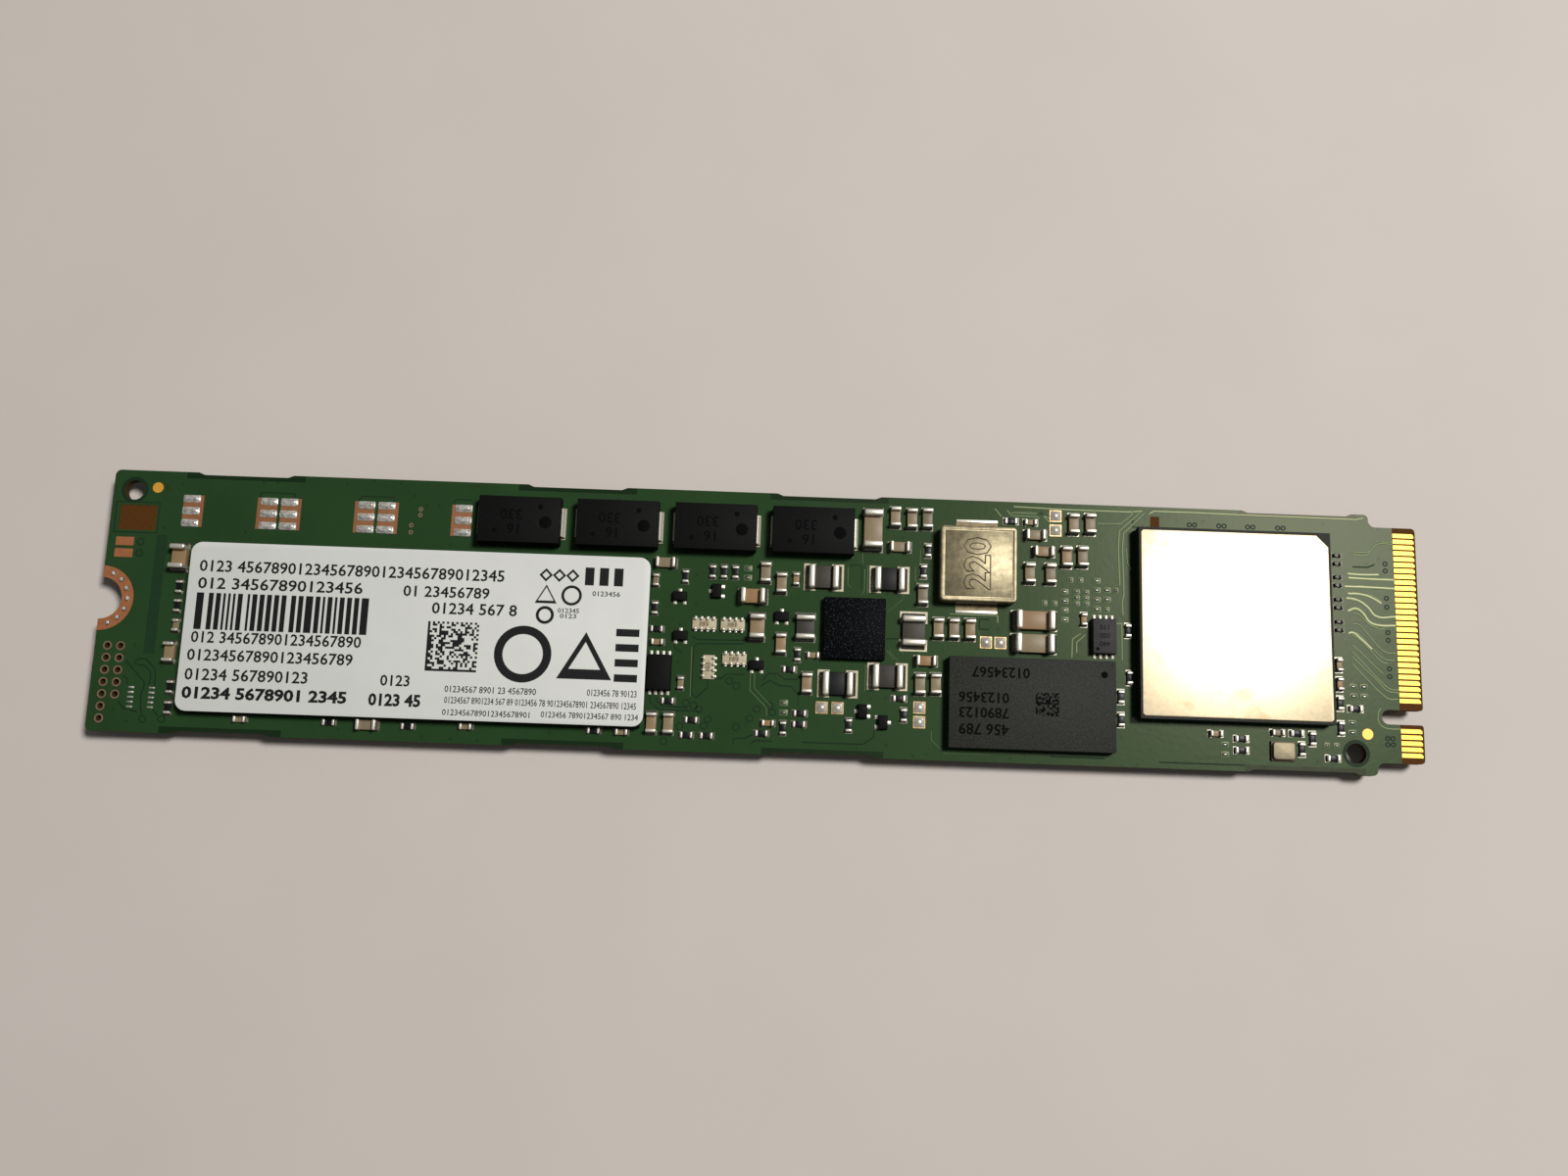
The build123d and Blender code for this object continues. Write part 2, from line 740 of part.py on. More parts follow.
capacitors_0603_along_x = [
    (flash_centre_x - 3.6, -9.75),
    (power_x - 8.25, 4.65),
    (power_x + 11.3, 6.7),
    (power_x + 13.65, -2.85),
    (power_x + 22.7, 8.15),
    (power_x + 23.4, 6.75),
]
capacitors_0603_along_y = [
    (left_end + 6.3, -4.35),
    (power_x - 8.8, -8.75),
    (power_x - 7.4, -8.75),
    (power_x + 0.15, 4.1),
    (power_x + 1.5, 3.25),
    (power_x + 1.6, -1.85),
    (power_x + 3.85, -5.05),
    (power_x + 10.9, 9.25),
    (power_x + 12.3, 9.15),
    (power_x + 13.6, 9.2),
    (power_x + 13.3, 2.7),
    (power_x + 14.65, -0.1),
    (power_x + 15.95, -0.1),
    (power_x + 17.3, -0.1),
    (power_x + 13.2, -4.8),
    (power_x + 14.5, -4.75),
    (power_x + 22.25, 4.85),
    (power_x + 24, 4.85),
    (power_x + 25.95, 9.2),
    (power_x + 27.35, 9.25),
    (power_x + 25.35, 6.35),
    (power_x + 26.7, 6.4),
]
tipped_chips(
    "capacitor_0603",
    capacitor_0603,
    chip_places(board_top, along_x=capacitors_0603_along_x, along_y=capacitors_0603_along_y),
)

capacitors_0402_along_x = [
    (flash_centre_x - 14, -9.65),
    (flash_centre_x + 4.45, -9.6),
    (power_x - 11.2, -9.6),
    (power_x - 8.65, -2.05),
    (power_x + 4.3, -2.7),
    (power_x + 0.75, -8.45),
    (power_x + 22.3, 9.25),
    (tip - 17.35, -8.0),
    (tip - 12.25, -7.75),
]
capacitors_0402_along_y = [
    (left_end + 6.55, -2.1),
    (power_x - 9, 3.15),
    (power_x + 2.7, 3.65),
    (power_x - 6.55, -5.4),
    (power_x + 26.8, 1.1),
    (tip - 6.95, -1.95),
    (tip - 6.95, -3.55),
]
tipped_chips(
    "capacitor_0402",
    capacitor_0402,
    chip_places(board_top, along_x=capacitors_0402_along_x, along_y=capacitors_0402_along_y),
)

# Coupling capacitors of the four lanes, in pairs beside the controller
lane_tops = [7.35, 5.5, 3.6, 1.7]
lane_pair_spacing = 0.7
coupling_places = [(tip - 6.8, y - lane_pair_spacing * step) for y in lane_tops for step in (0, 1)]
tipped_chips(
    "coupling_capacitor", capacitor_0201, chip_places(board_top, along_x=coupling_places)
)

# Decoupling capacitors on the underside, below the controller
under_level = board_bottom - capacitor_0402["height"]
under_grid = GridLocations(1.6, 1.2, 3, 2)
under_places = [
    (controller_x + spot.position.X, controller_y + spot.position.Y) for spot in under_grid
]
tipped_chips("underside_capacitor", capacitor_0402, chip_places(under_level, along_x=under_places))

resistors_along_x = [
    (flash_centre_x - 6.75, -9.65),
    (flash_centre_x - 0.3, -9.75),
    (power_x - 13.5, -9.55),
    (power_x - 8.75, -0.95),
    (power_x - 7.55, -6.9),
    (power_x - 5.55, -8.4),
    (power_x - 5.9, -9.65),
    (power_x - 4.25, -9.65),
    (power_x + 2.35, -3.95),
    (power_x + 0.25, -9.3),
    (power_x + 3.35, -7.55),
    (power_x + 3.3, -8.45),
    (power_x + 11.5, -6.05),
    (power_x + 20.65, 9.3),
    (tip - 15.25, -8.35),
    (tip - 15.25, -9.3),
    (tip - 10.65, -7.75),
    (tip - 7.7, -9.7),
    (tip - 5.7, -5.55),
]
resistors_along_y = [
    (left_end + 6.45, 1.15),
    (left_end + 6.45, -0.45),
    (left_end + 6.6, -7.2),
    (left_end + 6.6, -8.9),
    (power_x - 9, 0.8),
    (power_x - 6.55, 3.55),
    (power_x - 4.3, 4.05),
    (power_x - 3.35, 4.05),
    (power_x - 2.4, 4.05),
    (power_x + 3, -2.7),
    (power_x + 2, -8.8),
    (power_x + 13.7, 6.5),
    (power_x + 13.35, 4.7),
    (power_x + 11.9, -7.4),
    (power_x + 7.4, -8.4),
    (power_x + 30.5, 0.3),
    (power_x + 30.6, -3.65),
    (power_x + 29.85, -5.25),
    (power_x + 29.85, -7.15),
    (tip - 9.35, -8.15),
    (tip - 10.25, -9.05),
    (tip - 6.95, -5.15),
    (tip - 6.95, -7.2),
]
tipped_chips(
    "resistor",
    resistor_0402,
    chip_places(board_top, along_x=resistors_along_x, along_y=resistors_along_y),
)

# Chip inductors round the power management chip, on wide lands
inductor_places = chip_places(
    land_top,
    along_x=[(power_x + 5, 3.9), (power_x + 10.5, 3.9), (power_x + 6.4, -5.0), (power_x + 10.5, -4.25)],
    along_y=[(power_x + 12.6, -0.4)],
)
capped_chips("chip_inductor", power_chip_inductor, inductor_places)
capped_chips(
    "small_inductor", small_chip_inductor, chip_places(board_top, along_y=[(power_x + 3.6, -0.4)])
)

chip_inductor_land_offset = chip_inductor_land_span - chip_inductor_land_length
with BuildPart() as chip_inductor_lands:
    with Locations(*inductor_places):
        with Locations((0, 0, -copper_thickness)):
            with GridLocations(chip_inductor_land_offset, 0, 2, 1):
                Box(chip_inductor_land_length, chip_inductor_land_width, copper_thickness, align=on_seat)
chip_inductor_lands.part.label = "chip_inductor_lands"
export_step(chip_inductor_lands.part, "parts/chip_inductor_lands.step")

# Resistor arrays: pale body with four terminals along each long side
array_places = chip_places(
    board_top,
    along_x=[(power_x - 4.8, -0.4), (power_x - 2.45, -0.4), (power_x - 2.2, -3.25)],
    along_y=[(power_x - 4.3, -4.0)],
)
array_terminal_offset = array_width + array_terminal_depth
with BuildPart() as resistor_array_bodies:
    with Locations(*array_places):
        Box(array_length, array_width, array_height, align=on_seat)
resistor_array_bodies.part.label = "resistor_array_bodies"
export_step(resistor_array_bodies.part, "parts/resistor_array_bodies.step")

with BuildPart() as resistor_array_terminals:
    with Locations(*array_places):
        with GridLocations(array_terminal_pitch, array_terminal_offset, array_terminals_a_side, 2):
            Box(array_terminal_width, array_terminal_depth, array_height, align=on_seat)
resistor_array_terminals.part.label = "resistor_array_terminals"
export_step(resistor_array_terminals.part, "parts/resistor_array_terminals.step")

# Three-lead transistors: one lead on one long side, two on the other
transistor_places = chip_places(
    board_top,
    along_x=[(power_x - 6.95, 1.85), (power_x - 6.75, -1.45), (power_x - 0.35, -3.7), (power_x + 1.6, 0.45)],
    along_y=[(power_x - 3.9, 2.4), (power_x + 8.5, -7.2)],
)
transistor_places.append(Location((power_x + 10.2, -8.05, board_top), (0, 0, -90)))
transistor_lead_offset = (transistor_width + transistor_lead_reach) / 2
transistor_lead_places = [
    (0, transistor_lead_offset),
    (transistor_pair_pitch / 2, -transistor_lead_offset),
    (-transistor_pair_pitch / 2, -transistor_lead_offset),
]
with BuildPart() as transistor_bodies:
    with Locations(*transistor_places):
        Box(transistor_length, transistor_width, transistor_height, align=on_seat)
transistor_bodies.part.label = "transistor_bodies"
export_step(transistor_bodies.part, "parts/transistor_bodies.step")

with BuildPart() as transistor_leads:
    with Locations(*transistor_places):
        with Locations(*transistor_lead_places):
            Box(
                transistor_lead_width,
                transistor_lead_reach,
                transistor_lead_thickness,
                align=on_seat,
            )
transistor_leads.part.label = "transistor_leads"
export_step(transistor_leads.part, "parts/transistor_leads.step")

# Eight-lead chips: four flat leads at each end
leaded_chip_places = chip_places(board_top, along_x=[(power_x - 8.35, -4.6), (power_x + 28.4, -0.3)])
leaded_chip_lead_offset = leaded_chip_length + leaded_chip_lead_reach
with BuildPart() as leaded_chip_bodies:
    with Locations(*leaded_chip_places):
        Box(leaded_chip_width, leaded_chip_length, leaded_chip_height, align=on_seat)
leaded_chip_bodies.part.label = "leaded_chip_bodies"
export_step(leaded_chip_bodies.part, "parts/leaded_chip_bodies.step")

with BuildPart() as leaded_chip_leads:
    with Locations(*leaded_chip_places):
        with GridLocations(leaded_chip_pitch, leaded_chip_lead_offset, leaded_chip_leads_a_side, 2):
            Box(
                leaded_chip_lead_width,
                leaded_chip_lead_reach,
                leaded_chip_lead_thickness,
                align=on_seat,
            )
leaded_chip_leads.part.label = "leaded_chip_leads"
export_step(leaded_chip_leads.part, "parts/leaded_chip_leads.step")

# Crystal: ceramic base with a metal can on it
crystal_centre = (tip - 11.85, -9.25)
with BuildPart() as crystal_base:
    with BuildSketch(top_face):
        with Locations(crystal_centre):
            Rectangle(crystal_length, crystal_width)
    extrude(amount=crystal_base_height)
crystal_base.part.label = "crystal_base"
export_step(crystal_base.part, "parts/crystal_base.step")

with BuildPart() as crystal_can:
    with BuildSketch(top_face.offset(crystal_base_height)):
        with Locations(crystal_centre):
            RectangleRounded(
                crystal_length - 2 * crystal_can_margin,
                crystal_width - 2 * crystal_can_margin,
                crystal_can_radius,
            )
    extrude(amount=crystal_can_height)
crystal_can.part.label = "crystal_can"
export_step(crystal_can.part, "parts/crystal_can.step")
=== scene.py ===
import bpy
import bmesh
import math
import random
from mathutils import Matrix, Quaternion, Vector


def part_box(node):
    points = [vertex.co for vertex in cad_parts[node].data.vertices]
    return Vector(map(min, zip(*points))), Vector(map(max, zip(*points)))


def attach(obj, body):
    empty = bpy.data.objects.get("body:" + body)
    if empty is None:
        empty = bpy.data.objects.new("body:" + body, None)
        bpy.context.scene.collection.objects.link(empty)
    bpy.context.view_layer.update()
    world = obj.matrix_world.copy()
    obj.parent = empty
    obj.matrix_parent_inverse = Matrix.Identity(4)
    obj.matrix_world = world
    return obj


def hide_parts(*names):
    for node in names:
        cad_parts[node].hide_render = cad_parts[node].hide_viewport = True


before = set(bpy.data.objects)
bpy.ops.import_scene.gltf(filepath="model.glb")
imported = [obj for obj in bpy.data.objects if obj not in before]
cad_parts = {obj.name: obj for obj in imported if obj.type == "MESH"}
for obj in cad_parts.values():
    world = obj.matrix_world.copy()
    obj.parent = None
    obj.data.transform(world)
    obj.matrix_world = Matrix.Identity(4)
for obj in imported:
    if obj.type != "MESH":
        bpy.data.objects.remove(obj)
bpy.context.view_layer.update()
bpy.ops.object.select_all(action="DESELECT")

mm = 0.001
rightAngle = math.pi / 2
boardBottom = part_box("circuit_board")[0].z
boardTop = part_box("circuit_board")[1].z
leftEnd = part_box("circuit_board")[0].x
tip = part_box("circuit_board")[1].x


# colours, nodes and modelling steps that the pieces share

def srgb(code):
    # hex text such as 7A5C3E to linear colour
    parts = [int(code[i:i + 2], 16) / 255 for i in (0, 2, 4)]
    return tuple(p / 12.92 if p <= 0.04045 else ((p + 0.055) / 1.055) ** 2.4 for p in parts) + (1.0,)


def addNode(tree, kind, values={}, links={}, **settings):
    node = tree.nodes.new(kind)
    for name, value in settings.items():
        setattr(node, name, value)
    for socket, value in values.items():
        node.inputs[socket].default_value = value
    for socket, source in links.items():
        tree.links.new(source, node.inputs[socket])
    return node


def newMaterial(name, values):
    material = bpy.data.materials.new(name)
    material.use_nodes = True
    tree = material.node_tree
    surface = tree.nodes["Principled BSDF"]
    for socket, value in values.items():
        surface.inputs[socket].default_value = srgb(value) if isinstance(value, str) else value
    place = addNode(tree, "ShaderNodeTexCoord").outputs["Object"]
    return material, tree, surface, place


def solidsOf(nodeName):
    # centre and size of each separate solid in a CAD node, from left to right
    mesh = bmesh.new()
    mesh.from_mesh(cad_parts[nodeName].data)
    bmesh.ops.remove_doubles(mesh, verts=mesh.verts, dist=0.0001 * mm)
    waiting = set(mesh.verts)
    found = []
    while waiting:
        group = [waiting.pop()]
        for vert in group:
            for edge in vert.link_edges:
                other = edge.other_vert(vert)
                if other in waiting:
                    waiting.remove(other)
                    group.append(other)
        low = Vector([min(v.co[i] for v in group) for i in range(3)])
        high = Vector([max(v.co[i] for v in group) for i in range(3)])
        found.append(((low + high) / 2, high - low))
    mesh.free()
    return sorted(found, key=lambda solid: (round(solid[0].x, 6), round(solid[0].y, 6), round(solid[0].z, 6)))


def applyScale(piece):
    bpy.ops.object.transform_apply(location=False, rotation=False, scale=True)
    return piece


def addBox(name, size, centre):
    bpy.ops.mesh.primitive_cube_add(size=1, location=centre)
    box = bpy.context.object
    box.name = name
    box.scale = size
    return applyScale(box)


def pickEdges(piece, test):
    bpy.ops.object.mode_set(mode="EDIT")
    bpy.ops.mesh.select_mode(type="EDGE")
    bpy.ops.mesh.select_all(action="DESELECT")
    mesh = bmesh.from_edit_mesh(piece.data)
    for edge in mesh.edges:
        if test((edge.verts[0].co + edge.verts[1].co) / 2, edge.verts[1].co - edge.verts[0].co):
            edge.select_set(True)
    bmesh.update_edit_mesh(piece.data)


def pickFaces(piece, test):
    bpy.ops.object.mode_set(mode="EDIT")
    bpy.ops.mesh.select_mode(type="FACE")
    bpy.ops.mesh.select_all(action="DESELECT")
    mesh = bmesh.from_edit_mesh(piece.data)
    for face in mesh.faces:
        if test(face.calc_center_median(), face.normal):
            face.select_set(True)
    bmesh.update_edit_mesh(piece.data)


def applyModifier(piece, kind, **settings):
    bpy.context.view_layer.objects.active = piece
    modifier = piece.modifiers.new(kind.title(), kind)
    for name, value in settings.items():
        setattr(modifier, name, value)
    bpy.ops.object.modifier_apply(modifier=modifier.name)
    return piece


def softenEdges(piece, width, segments=2):
    return applyModifier(piece, "BEVEL", width=width, segments=segments, limit_method="ANGLE")


def joinPieces(name, pieces):
    bpy.ops.object.select_all(action="DESELECT")
    for piece in pieces:
        piece.select_set(True)
    bpy.context.view_layer.objects.active = pieces[0]
    if len(pieces) > 1:
        bpy.ops.object.join()
    joined = bpy.context.object
    joined.name = name
    joined.data.name = name
    bpy.ops.object.transform_apply(location=True, rotation=True, scale=True)
    return joined


def copyTo(master, place, turn=0.0, tone=0.5, over=False):
    # one more of a master, with its own mesh, turned about Z and, on the underside, turned over
    copy = master.copy()
    copy.data = master.data.copy()
    bpy.context.collection.objects.link(copy)
    spin = Matrix.Rotation(turn, 4, "Z")
    flip = Matrix.Rotation(math.pi, 4, "X") if over else Matrix.Identity(4)
    copy.matrix_world = Matrix.Translation(place) @ flip @ spin
    attribute = copy.data.attributes.get("tone") or copy.data.attributes.new("tone", "FLOAT", "POINT")
    attribute.data.foreach_set("value", [tone] * len(copy.data.vertices))
    return copy


def removeMaster(*masters):
    for master in masters:
        bpy.data.objects.remove(master)


def finishPiece(piece, material, replaced=(), smooth=40):
    bpy.ops.object.select_all(action="DESELECT")
    piece.select_set(True)
    bpy.context.view_layer.objects.active = piece
    bpy.ops.object.transform_apply(location=True, rotation=True, scale=True)
    bpy.ops.object.shade_smooth_by_angle(angle=math.radians(smooth))
    piece.data.materials.clear()
    piece.data.materials.append(material)
    if replaced:
        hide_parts(*replaced)
    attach(piece, "root")
    bpy.ops.object.select_all(action="DESELECT")
    return piece


def paintNode(nodeName, material):
    # a CAD node that keeps its own shape
    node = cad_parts[nodeName]
    if node.material_slots:
        node.material_slots[0].material = material
    else:
        node.data.materials.append(material)


def addMark(text, height, centre, turn=0.0, thickness=0.008 * mm, bold=0.0, outline=0.0):
    # plain numbers, as a thin mesh that lies on a package, or as round beads along their outlines
    bpy.ops.object.text_add(location=centre, rotation=(0, 0, turn))
    mark = bpy.context.object
    mark.data.body = text
    mark.data.size = height * 1.4
    mark.data.align_x = "CENTER"
    mark.data.align_y = "CENTER"
    mark.data.resolution_u = 2
    mark.data.offset = bold
    if outline:
        mark.data.fill_mode = "NONE"
        mark.data.bevel_depth = outline
        mark.data.bevel_resolution = 1
    else:
        mark.data.extrude = thickness / 2
    bpy.ops.object.convert(target="MESH")
    return bpy.context.object


def mergedCopy(nodeName, name):
    # a CAD node's shape as a piece of its own, with its loose triangles merged
    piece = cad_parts[nodeName].copy()
    piece.data = piece.data.copy()
    for key in list(piece.keys()):
        del piece[key]
    piece.parent = None
    bpy.context.collection.objects.link(piece)
    bpy.ops.object.select_all(action="DESELECT")
    bpy.context.view_layer.objects.active = piece
    piece.select_set(True)
    piece.name = name
    bpy.ops.object.mode_set(mode="EDIT")
    bpy.ops.mesh.select_all(action="SELECT")
    bpy.ops.mesh.remove_doubles(threshold=0.0001 * mm)
    bpy.ops.mesh.dissolve_limited(angle_limit=math.radians(1))
    bpy.ops.object.mode_set(mode="OBJECT")
    return piece


def addDisc(name, radius, thickness, centre, sides=24):
    # a thin disc with a rounded rim
    bpy.ops.mesh.primitive_cylinder_add(vertices=sides, radius=radius, depth=thickness, location=centre)
    disc = bpy.context.object
    disc.name = name
    return softenEdges(disc, 0.3 * thickness)


def addRing(name, outer, inner, thickness, centre, sides=28):
    # a flat washer: a circle, extruded inwards and given its thickness
    bpy.ops.mesh.primitive_circle_add(vertices=sides, radius=outer, location=centre)
    ring = bpy.context.object
    ring.name = name
    bpy.ops.object.mode_set(mode="EDIT")
    bpy.ops.mesh.select_all(action="SELECT")
    bpy.ops.mesh.extrude_edges_move()
    bpy.ops.transform.resize(value=(inner / outer, inner / outer, 1))
    bpy.ops.mesh.select_all(action="SELECT")
    bpy.ops.mesh.normals_make_consistent(inside=False)
    bpy.ops.object.mode_set(mode="OBJECT")
    return applyModifier(ring, "SOLIDIFY", thickness=thickness, offset=0)


# Solder mask over glass laminate: a semi-gloss green film. Copper below it makes it a little lighter, bare
# laminate below it darker. Past the mask's end, in the windows and on the cut edges the brown laminate shows.
maskSettings = {
    "green": "21391F", "lighterGreen": "294427", "darkGreen": "182A18", "laminate": "4F3012", "cutEdge": "46361A",
    "maskEnd": 53.0 * mm, "cloudSize": 5.0 * mm, "viaPitch": 1.15 * mm, "viaRadius": 0.13 * mm,
    "weavePitch": 0.35 * mm, "bareEdge": 10.45 * mm, "maskRoughness": 0.3, "bareRoughness": 0.75,
}


def makeSolderMask():
    s = maskSettings
    material, tree, surface, place = newMaterial("solderMaskOnLaminate", {"Specular IOR Level": 0.09, "Specular Tint": "FFF6DC"})
    axes = addNode(tree, "ShaderNodeSeparateXYZ", links={"Vector": place}).outputs
    # cloudy thickness of the mask
    cloud = addNode(tree, "ShaderNodeTexNoise", {"Scale": 1 / s["cloudSize"], "Detail": 3.0}, {"Vector": place})
    green = addNode(tree, "ShaderNodeMix", {6: srgb(s["green"]), 7: srgb(s["lighterGreen"])},
                    {"Factor": cloud.outputs["Fac"]}, data_type="RGBA")
    # strips along the long edges where the copper is pulled back
    side = addNode(tree, "ShaderNodeMath", links={0: axes["Y"]}, operation="ABSOLUTE")
    strip = addNode(tree, "ShaderNodeMath", {1: s["bareEdge"]}, {0: side.outputs[0]}, operation="GREATER_THAN")
    zone = None
    for centre in (leftEnd + 11.0 * mm, -16.0 * mm, 5.3 * mm, tip - 10.0 * mm):
        near = addNode(tree, "ShaderNodeMath", {1: centre, 2: 5.0 * mm}, {0: axes["X"]}, operation="COMPARE")
        zone = near if zone is None else addNode(
            tree, "ShaderNodeMath", links={0: zone.outputs[0], 1: near.outputs[0]}, operation="MAXIMUM")
    pulled = addNode(tree, "ShaderNodeMath", links={0: strip.outputs[0], 1: zone.outputs[0]}, operation="MULTIPLY")
    green = addNode(tree, "ShaderNodeMix", {7: srgb(s["darkGreen"])},
                    {"Factor": pulled.outputs[0], 6: green.outputs[2]}, data_type="RGBA")
    # tented vias, in about a sixth of the cells
    cells = addNode(tree, "ShaderNodeTexVoronoi", {"Scale": 1 / s["viaPitch"], "Randomness": 0.85},
                    {"Vector": place}, voronoi_dimensions="2D")
    some = addNode(tree, "ShaderNodeSeparateColor", links={"Color": cells.outputs["Color"]})
    chosen = addNode(tree, "ShaderNodeMath", {1: 0.16}, {0: some.outputs[0]}, operation="LESS_THAN")
    inside = addNode(tree, "ShaderNodeMath", {1: s["viaRadius"] / s["viaPitch"]},
                     {0: cells.outputs["Distance"]}, operation="LESS_THAN")
    via = addNode(tree, "ShaderNodeMath", links={0: chosen.outputs[0], 1: inside.outputs[0]}, operation="MULTIPLY")
    shade = addNode(tree, "ShaderNodeMath", {1: 0.45}, {0: via.outputs[0]}, operation="MULTIPLY")
    green = addNode(tree, "ShaderNodeMix", {7: srgb(s["darkGreen"])},
                    {"Factor": shade.outputs[0], 6: green.outputs[2]}, data_type="RGBA")
    # woven glass under the resin, on the bare laminate
    weave = addNode(tree, "ShaderNodeTexChecker", {"Scale": 1 / s["weavePitch"], 1: srgb(s["laminate"]), 2: srgb("4D2E11")},
                    {"Vector": place})
    # what lies on a face and is masked; the rest is laminate
    top = addNode(tree, "ShaderNodeMath", {1: boardTop - 0.01 * mm}, {0: axes["Z"]}, operation="GREATER_THAN")
    under = addNode(tree, "ShaderNodeMath", {1: boardBottom + 0.01 * mm}, {0: axes["Z"]}, operation="LESS_THAN")
    face = addNode(tree, "ShaderNodeMath", links={0: top.outputs[0], 1: under.outputs[0]}, operation="MAXIMUM")
    before = addNode(tree, "ShaderNodeMath", {1: s["maskEnd"]}, {0: axes["X"]}, operation="LESS_THAN")
    masked = addNode(tree, "ShaderNodeMath", links={0: face.outputs[0], 1: before.outputs[0]}, operation="MULTIPLY")
    window = addNode(tree, "ShaderNodeMath", {1: boardTop - 0.04 * mm}, {0: axes["Z"]}, operation="GREATER_THAN")
    flat = addNode(tree, "ShaderNodeMath", links={0: face.outputs[0], 1: window.outputs[0]}, operation="MAXIMUM")
    bare = addNode(tree, "ShaderNodeMix", {6: srgb(s["cutEdge"])},
                   {"Factor": flat.outputs[0], 7: weave.outputs["Color"]}, data_type="RGBA")
    colour = addNode(tree, "ShaderNodeMix", links={"Factor": masked.outputs[0], 6: bare.outputs[2], 7: green.outputs[2]},
                     data_type="RGBA")
    tree.links.new(colour.outputs[2], surface.inputs["Base Color"])
    rough = addNode(tree, "ShaderNodeMapRange", {3: s["bareRoughness"], 4: s["maskRoughness"]}, {0: masked.outputs[0]})
    tree.links.new(rough.outputs[0], surface.inputs["Roughness"])
    # orange peel of the mask and the pits of the vias
    peel = addNode(tree, "ShaderNodeTexNoise", {"Scale": 1 / (0.5 * mm), "Detail": 2.0}, {"Vector": place})
    pit = addNode(tree, "ShaderNodeMath", {1: -1.2}, {0: via.outputs[0], 2: peel.outputs["Fac"]}, operation="MULTIPLY_ADD")
    bump = addNode(tree, "ShaderNodeBump", {"Strength": 0.35, "Distance": 0.012 * mm}, {"Height": pit.outputs[0]})
    tree.links.new(bump.outputs["Normal"], surface.inputs["Normal"])
    return material


solderMask = makeSolderMask()


def makeGrainy(name, values, other, grain, spread=0.5, bumpDepth=0.0, detail=2.0, middle=0.5):
    # a surface whose colour wanders to a second one with a grain of a real size, with the same grain as relief;
    # a middle above 0.5 leaves only specks of the second colour
    material, tree, surface, place = newMaterial(name, values)
    noise = addNode(tree, "ShaderNodeTexNoise", {"Scale": 1 / grain, "Detail": detail, "Roughness": 0.6}, {"Vector": place})
    ramp = addNode(tree, "ShaderNodeMapRange", {1: middle - spread / 2, 2: middle + spread / 2},
                   {0: noise.outputs["Fac"]})
    mix = addNode(tree, "ShaderNodeMix", {6: srgb(values["Base Color"]), 7: srgb(other)},
                  {"Factor": ramp.outputs[0]}, data_type="RGBA")
    tree.links.new(mix.outputs[2], surface.inputs["Base Color"])
    if bumpDepth:
        bump = addNode(tree, "ShaderNodeBump", {"Strength": 0.6, "Distance": bumpDepth}, {"Height": noise.outputs["Fac"]})
        tree.links.new(bump.outputs["Normal"], surface.inputs["Normal"])
    return material


# The mask over a trace stands a little proud and is lighter, partly from the copper under it and partly a painted
# sheen; over a gap in the copper it sinks and is darker.
traceMaskWithSheen = makeGrainy("solderMaskTraceSheen", {"Base Color": "466343", "Roughness": 0.42, "Specular IOR Level": 0.55,
                                                   "Specular Tint": "FFEFC4"}, "3A5537", 0.8 * mm, 0.6)
# broad traces and the board's edge: a lighter green that is a painted highlight
traceMaskPaintedHighlight = makeGrainy("solderMaskPaintedHighlight", {"Base Color": "58724F", "Roughness": 0.4, "Specular IOR Level": 0.95,
                                                     "Specular Tint": "FFEFC4"}, "4A6445", 0.8 * mm, 0.6)
quietTrace = makeGrainy("solderMaskOverFineTrace", {"Base Color": "304C31", "Roughness": 0.4, "Specular IOR Level": 0.2,
                                                    "Specular Tint": "FFEFC4"}, "2A442B", 0.8 * mm, 0.6)
maskOverGap = makeGrainy("solderMaskOverGap", {"Base Color": "19291B", "Roughness": 0.45, "Specular IOR Level": 0.05},
                         "1D301F", 0.8 * mm, 0.6)
thinMask = makeGrainy("solderMaskWithoutCopper", {"Base Color": "1D3321", "Roughness": 0.4, "Specular IOR Level": 0.08},
                      "213822", 0.8 * mm, 0.6)

# Hard gold plate: bright yellow and smooth, with faint rub marks across the fingers
hardGold = makeGrainy("hardGoldPlate", {"Base Color": "BC9D42", "Metallic": 0.75, "Roughness": 0.43}, "AB8935",
                      0.7 * mm, 0.7, 0.002 * mm)

# Immersion gold of the fiducials: thinner, matter and more orange
softGold = makeGrainy("immersionGold", {"Base Color": "E3A93C", "Metallic": 0.3, "Roughness": 0.45}, "D29A34",
                      0.5 * mm, 0.6, 0.002 * mm)

# Bare copper with a clear preservative: pinkish brown, satin
bareCopper = makeGrainy("bareCopper", {"Base Color": "A86B43", "Metallic": 0.25, "Roughness": 0.5}, "935B37",
                        0.5 * mm, 0.6, 0.003 * mm)

# Tarnished copper of the hole rims: brown-grey and dull
tarnishedCopper = makeGrainy("tarnishedCopper", {"Base Color": "86705E", "Metallic": 0.3, "Roughness": 0.55}, "6E5443",
                             0.3 * mm, 0.6, 0.003 * mm)

# Copper that solder has wetted: beige metal with brown left in patches
wettedCopper = makeGrainy("wettedCopper", {"Base Color": "BDA67C", "Metallic": 0.6, "Roughness": 0.38}, "8F6B42",
                          0.35 * mm, 0.3, 0.006 * mm)

# Reflowed solder: bright where it is smooth, with a dull crust in patches
reflowedSolder = makeGrainy("reflowedSolder", {"Base Color": "F6F4EE", "Metallic": 0.55, "Roughness": 0.24}, "B4AFA5",
                            0.3 * mm, 0.35, 0.012 * mm)
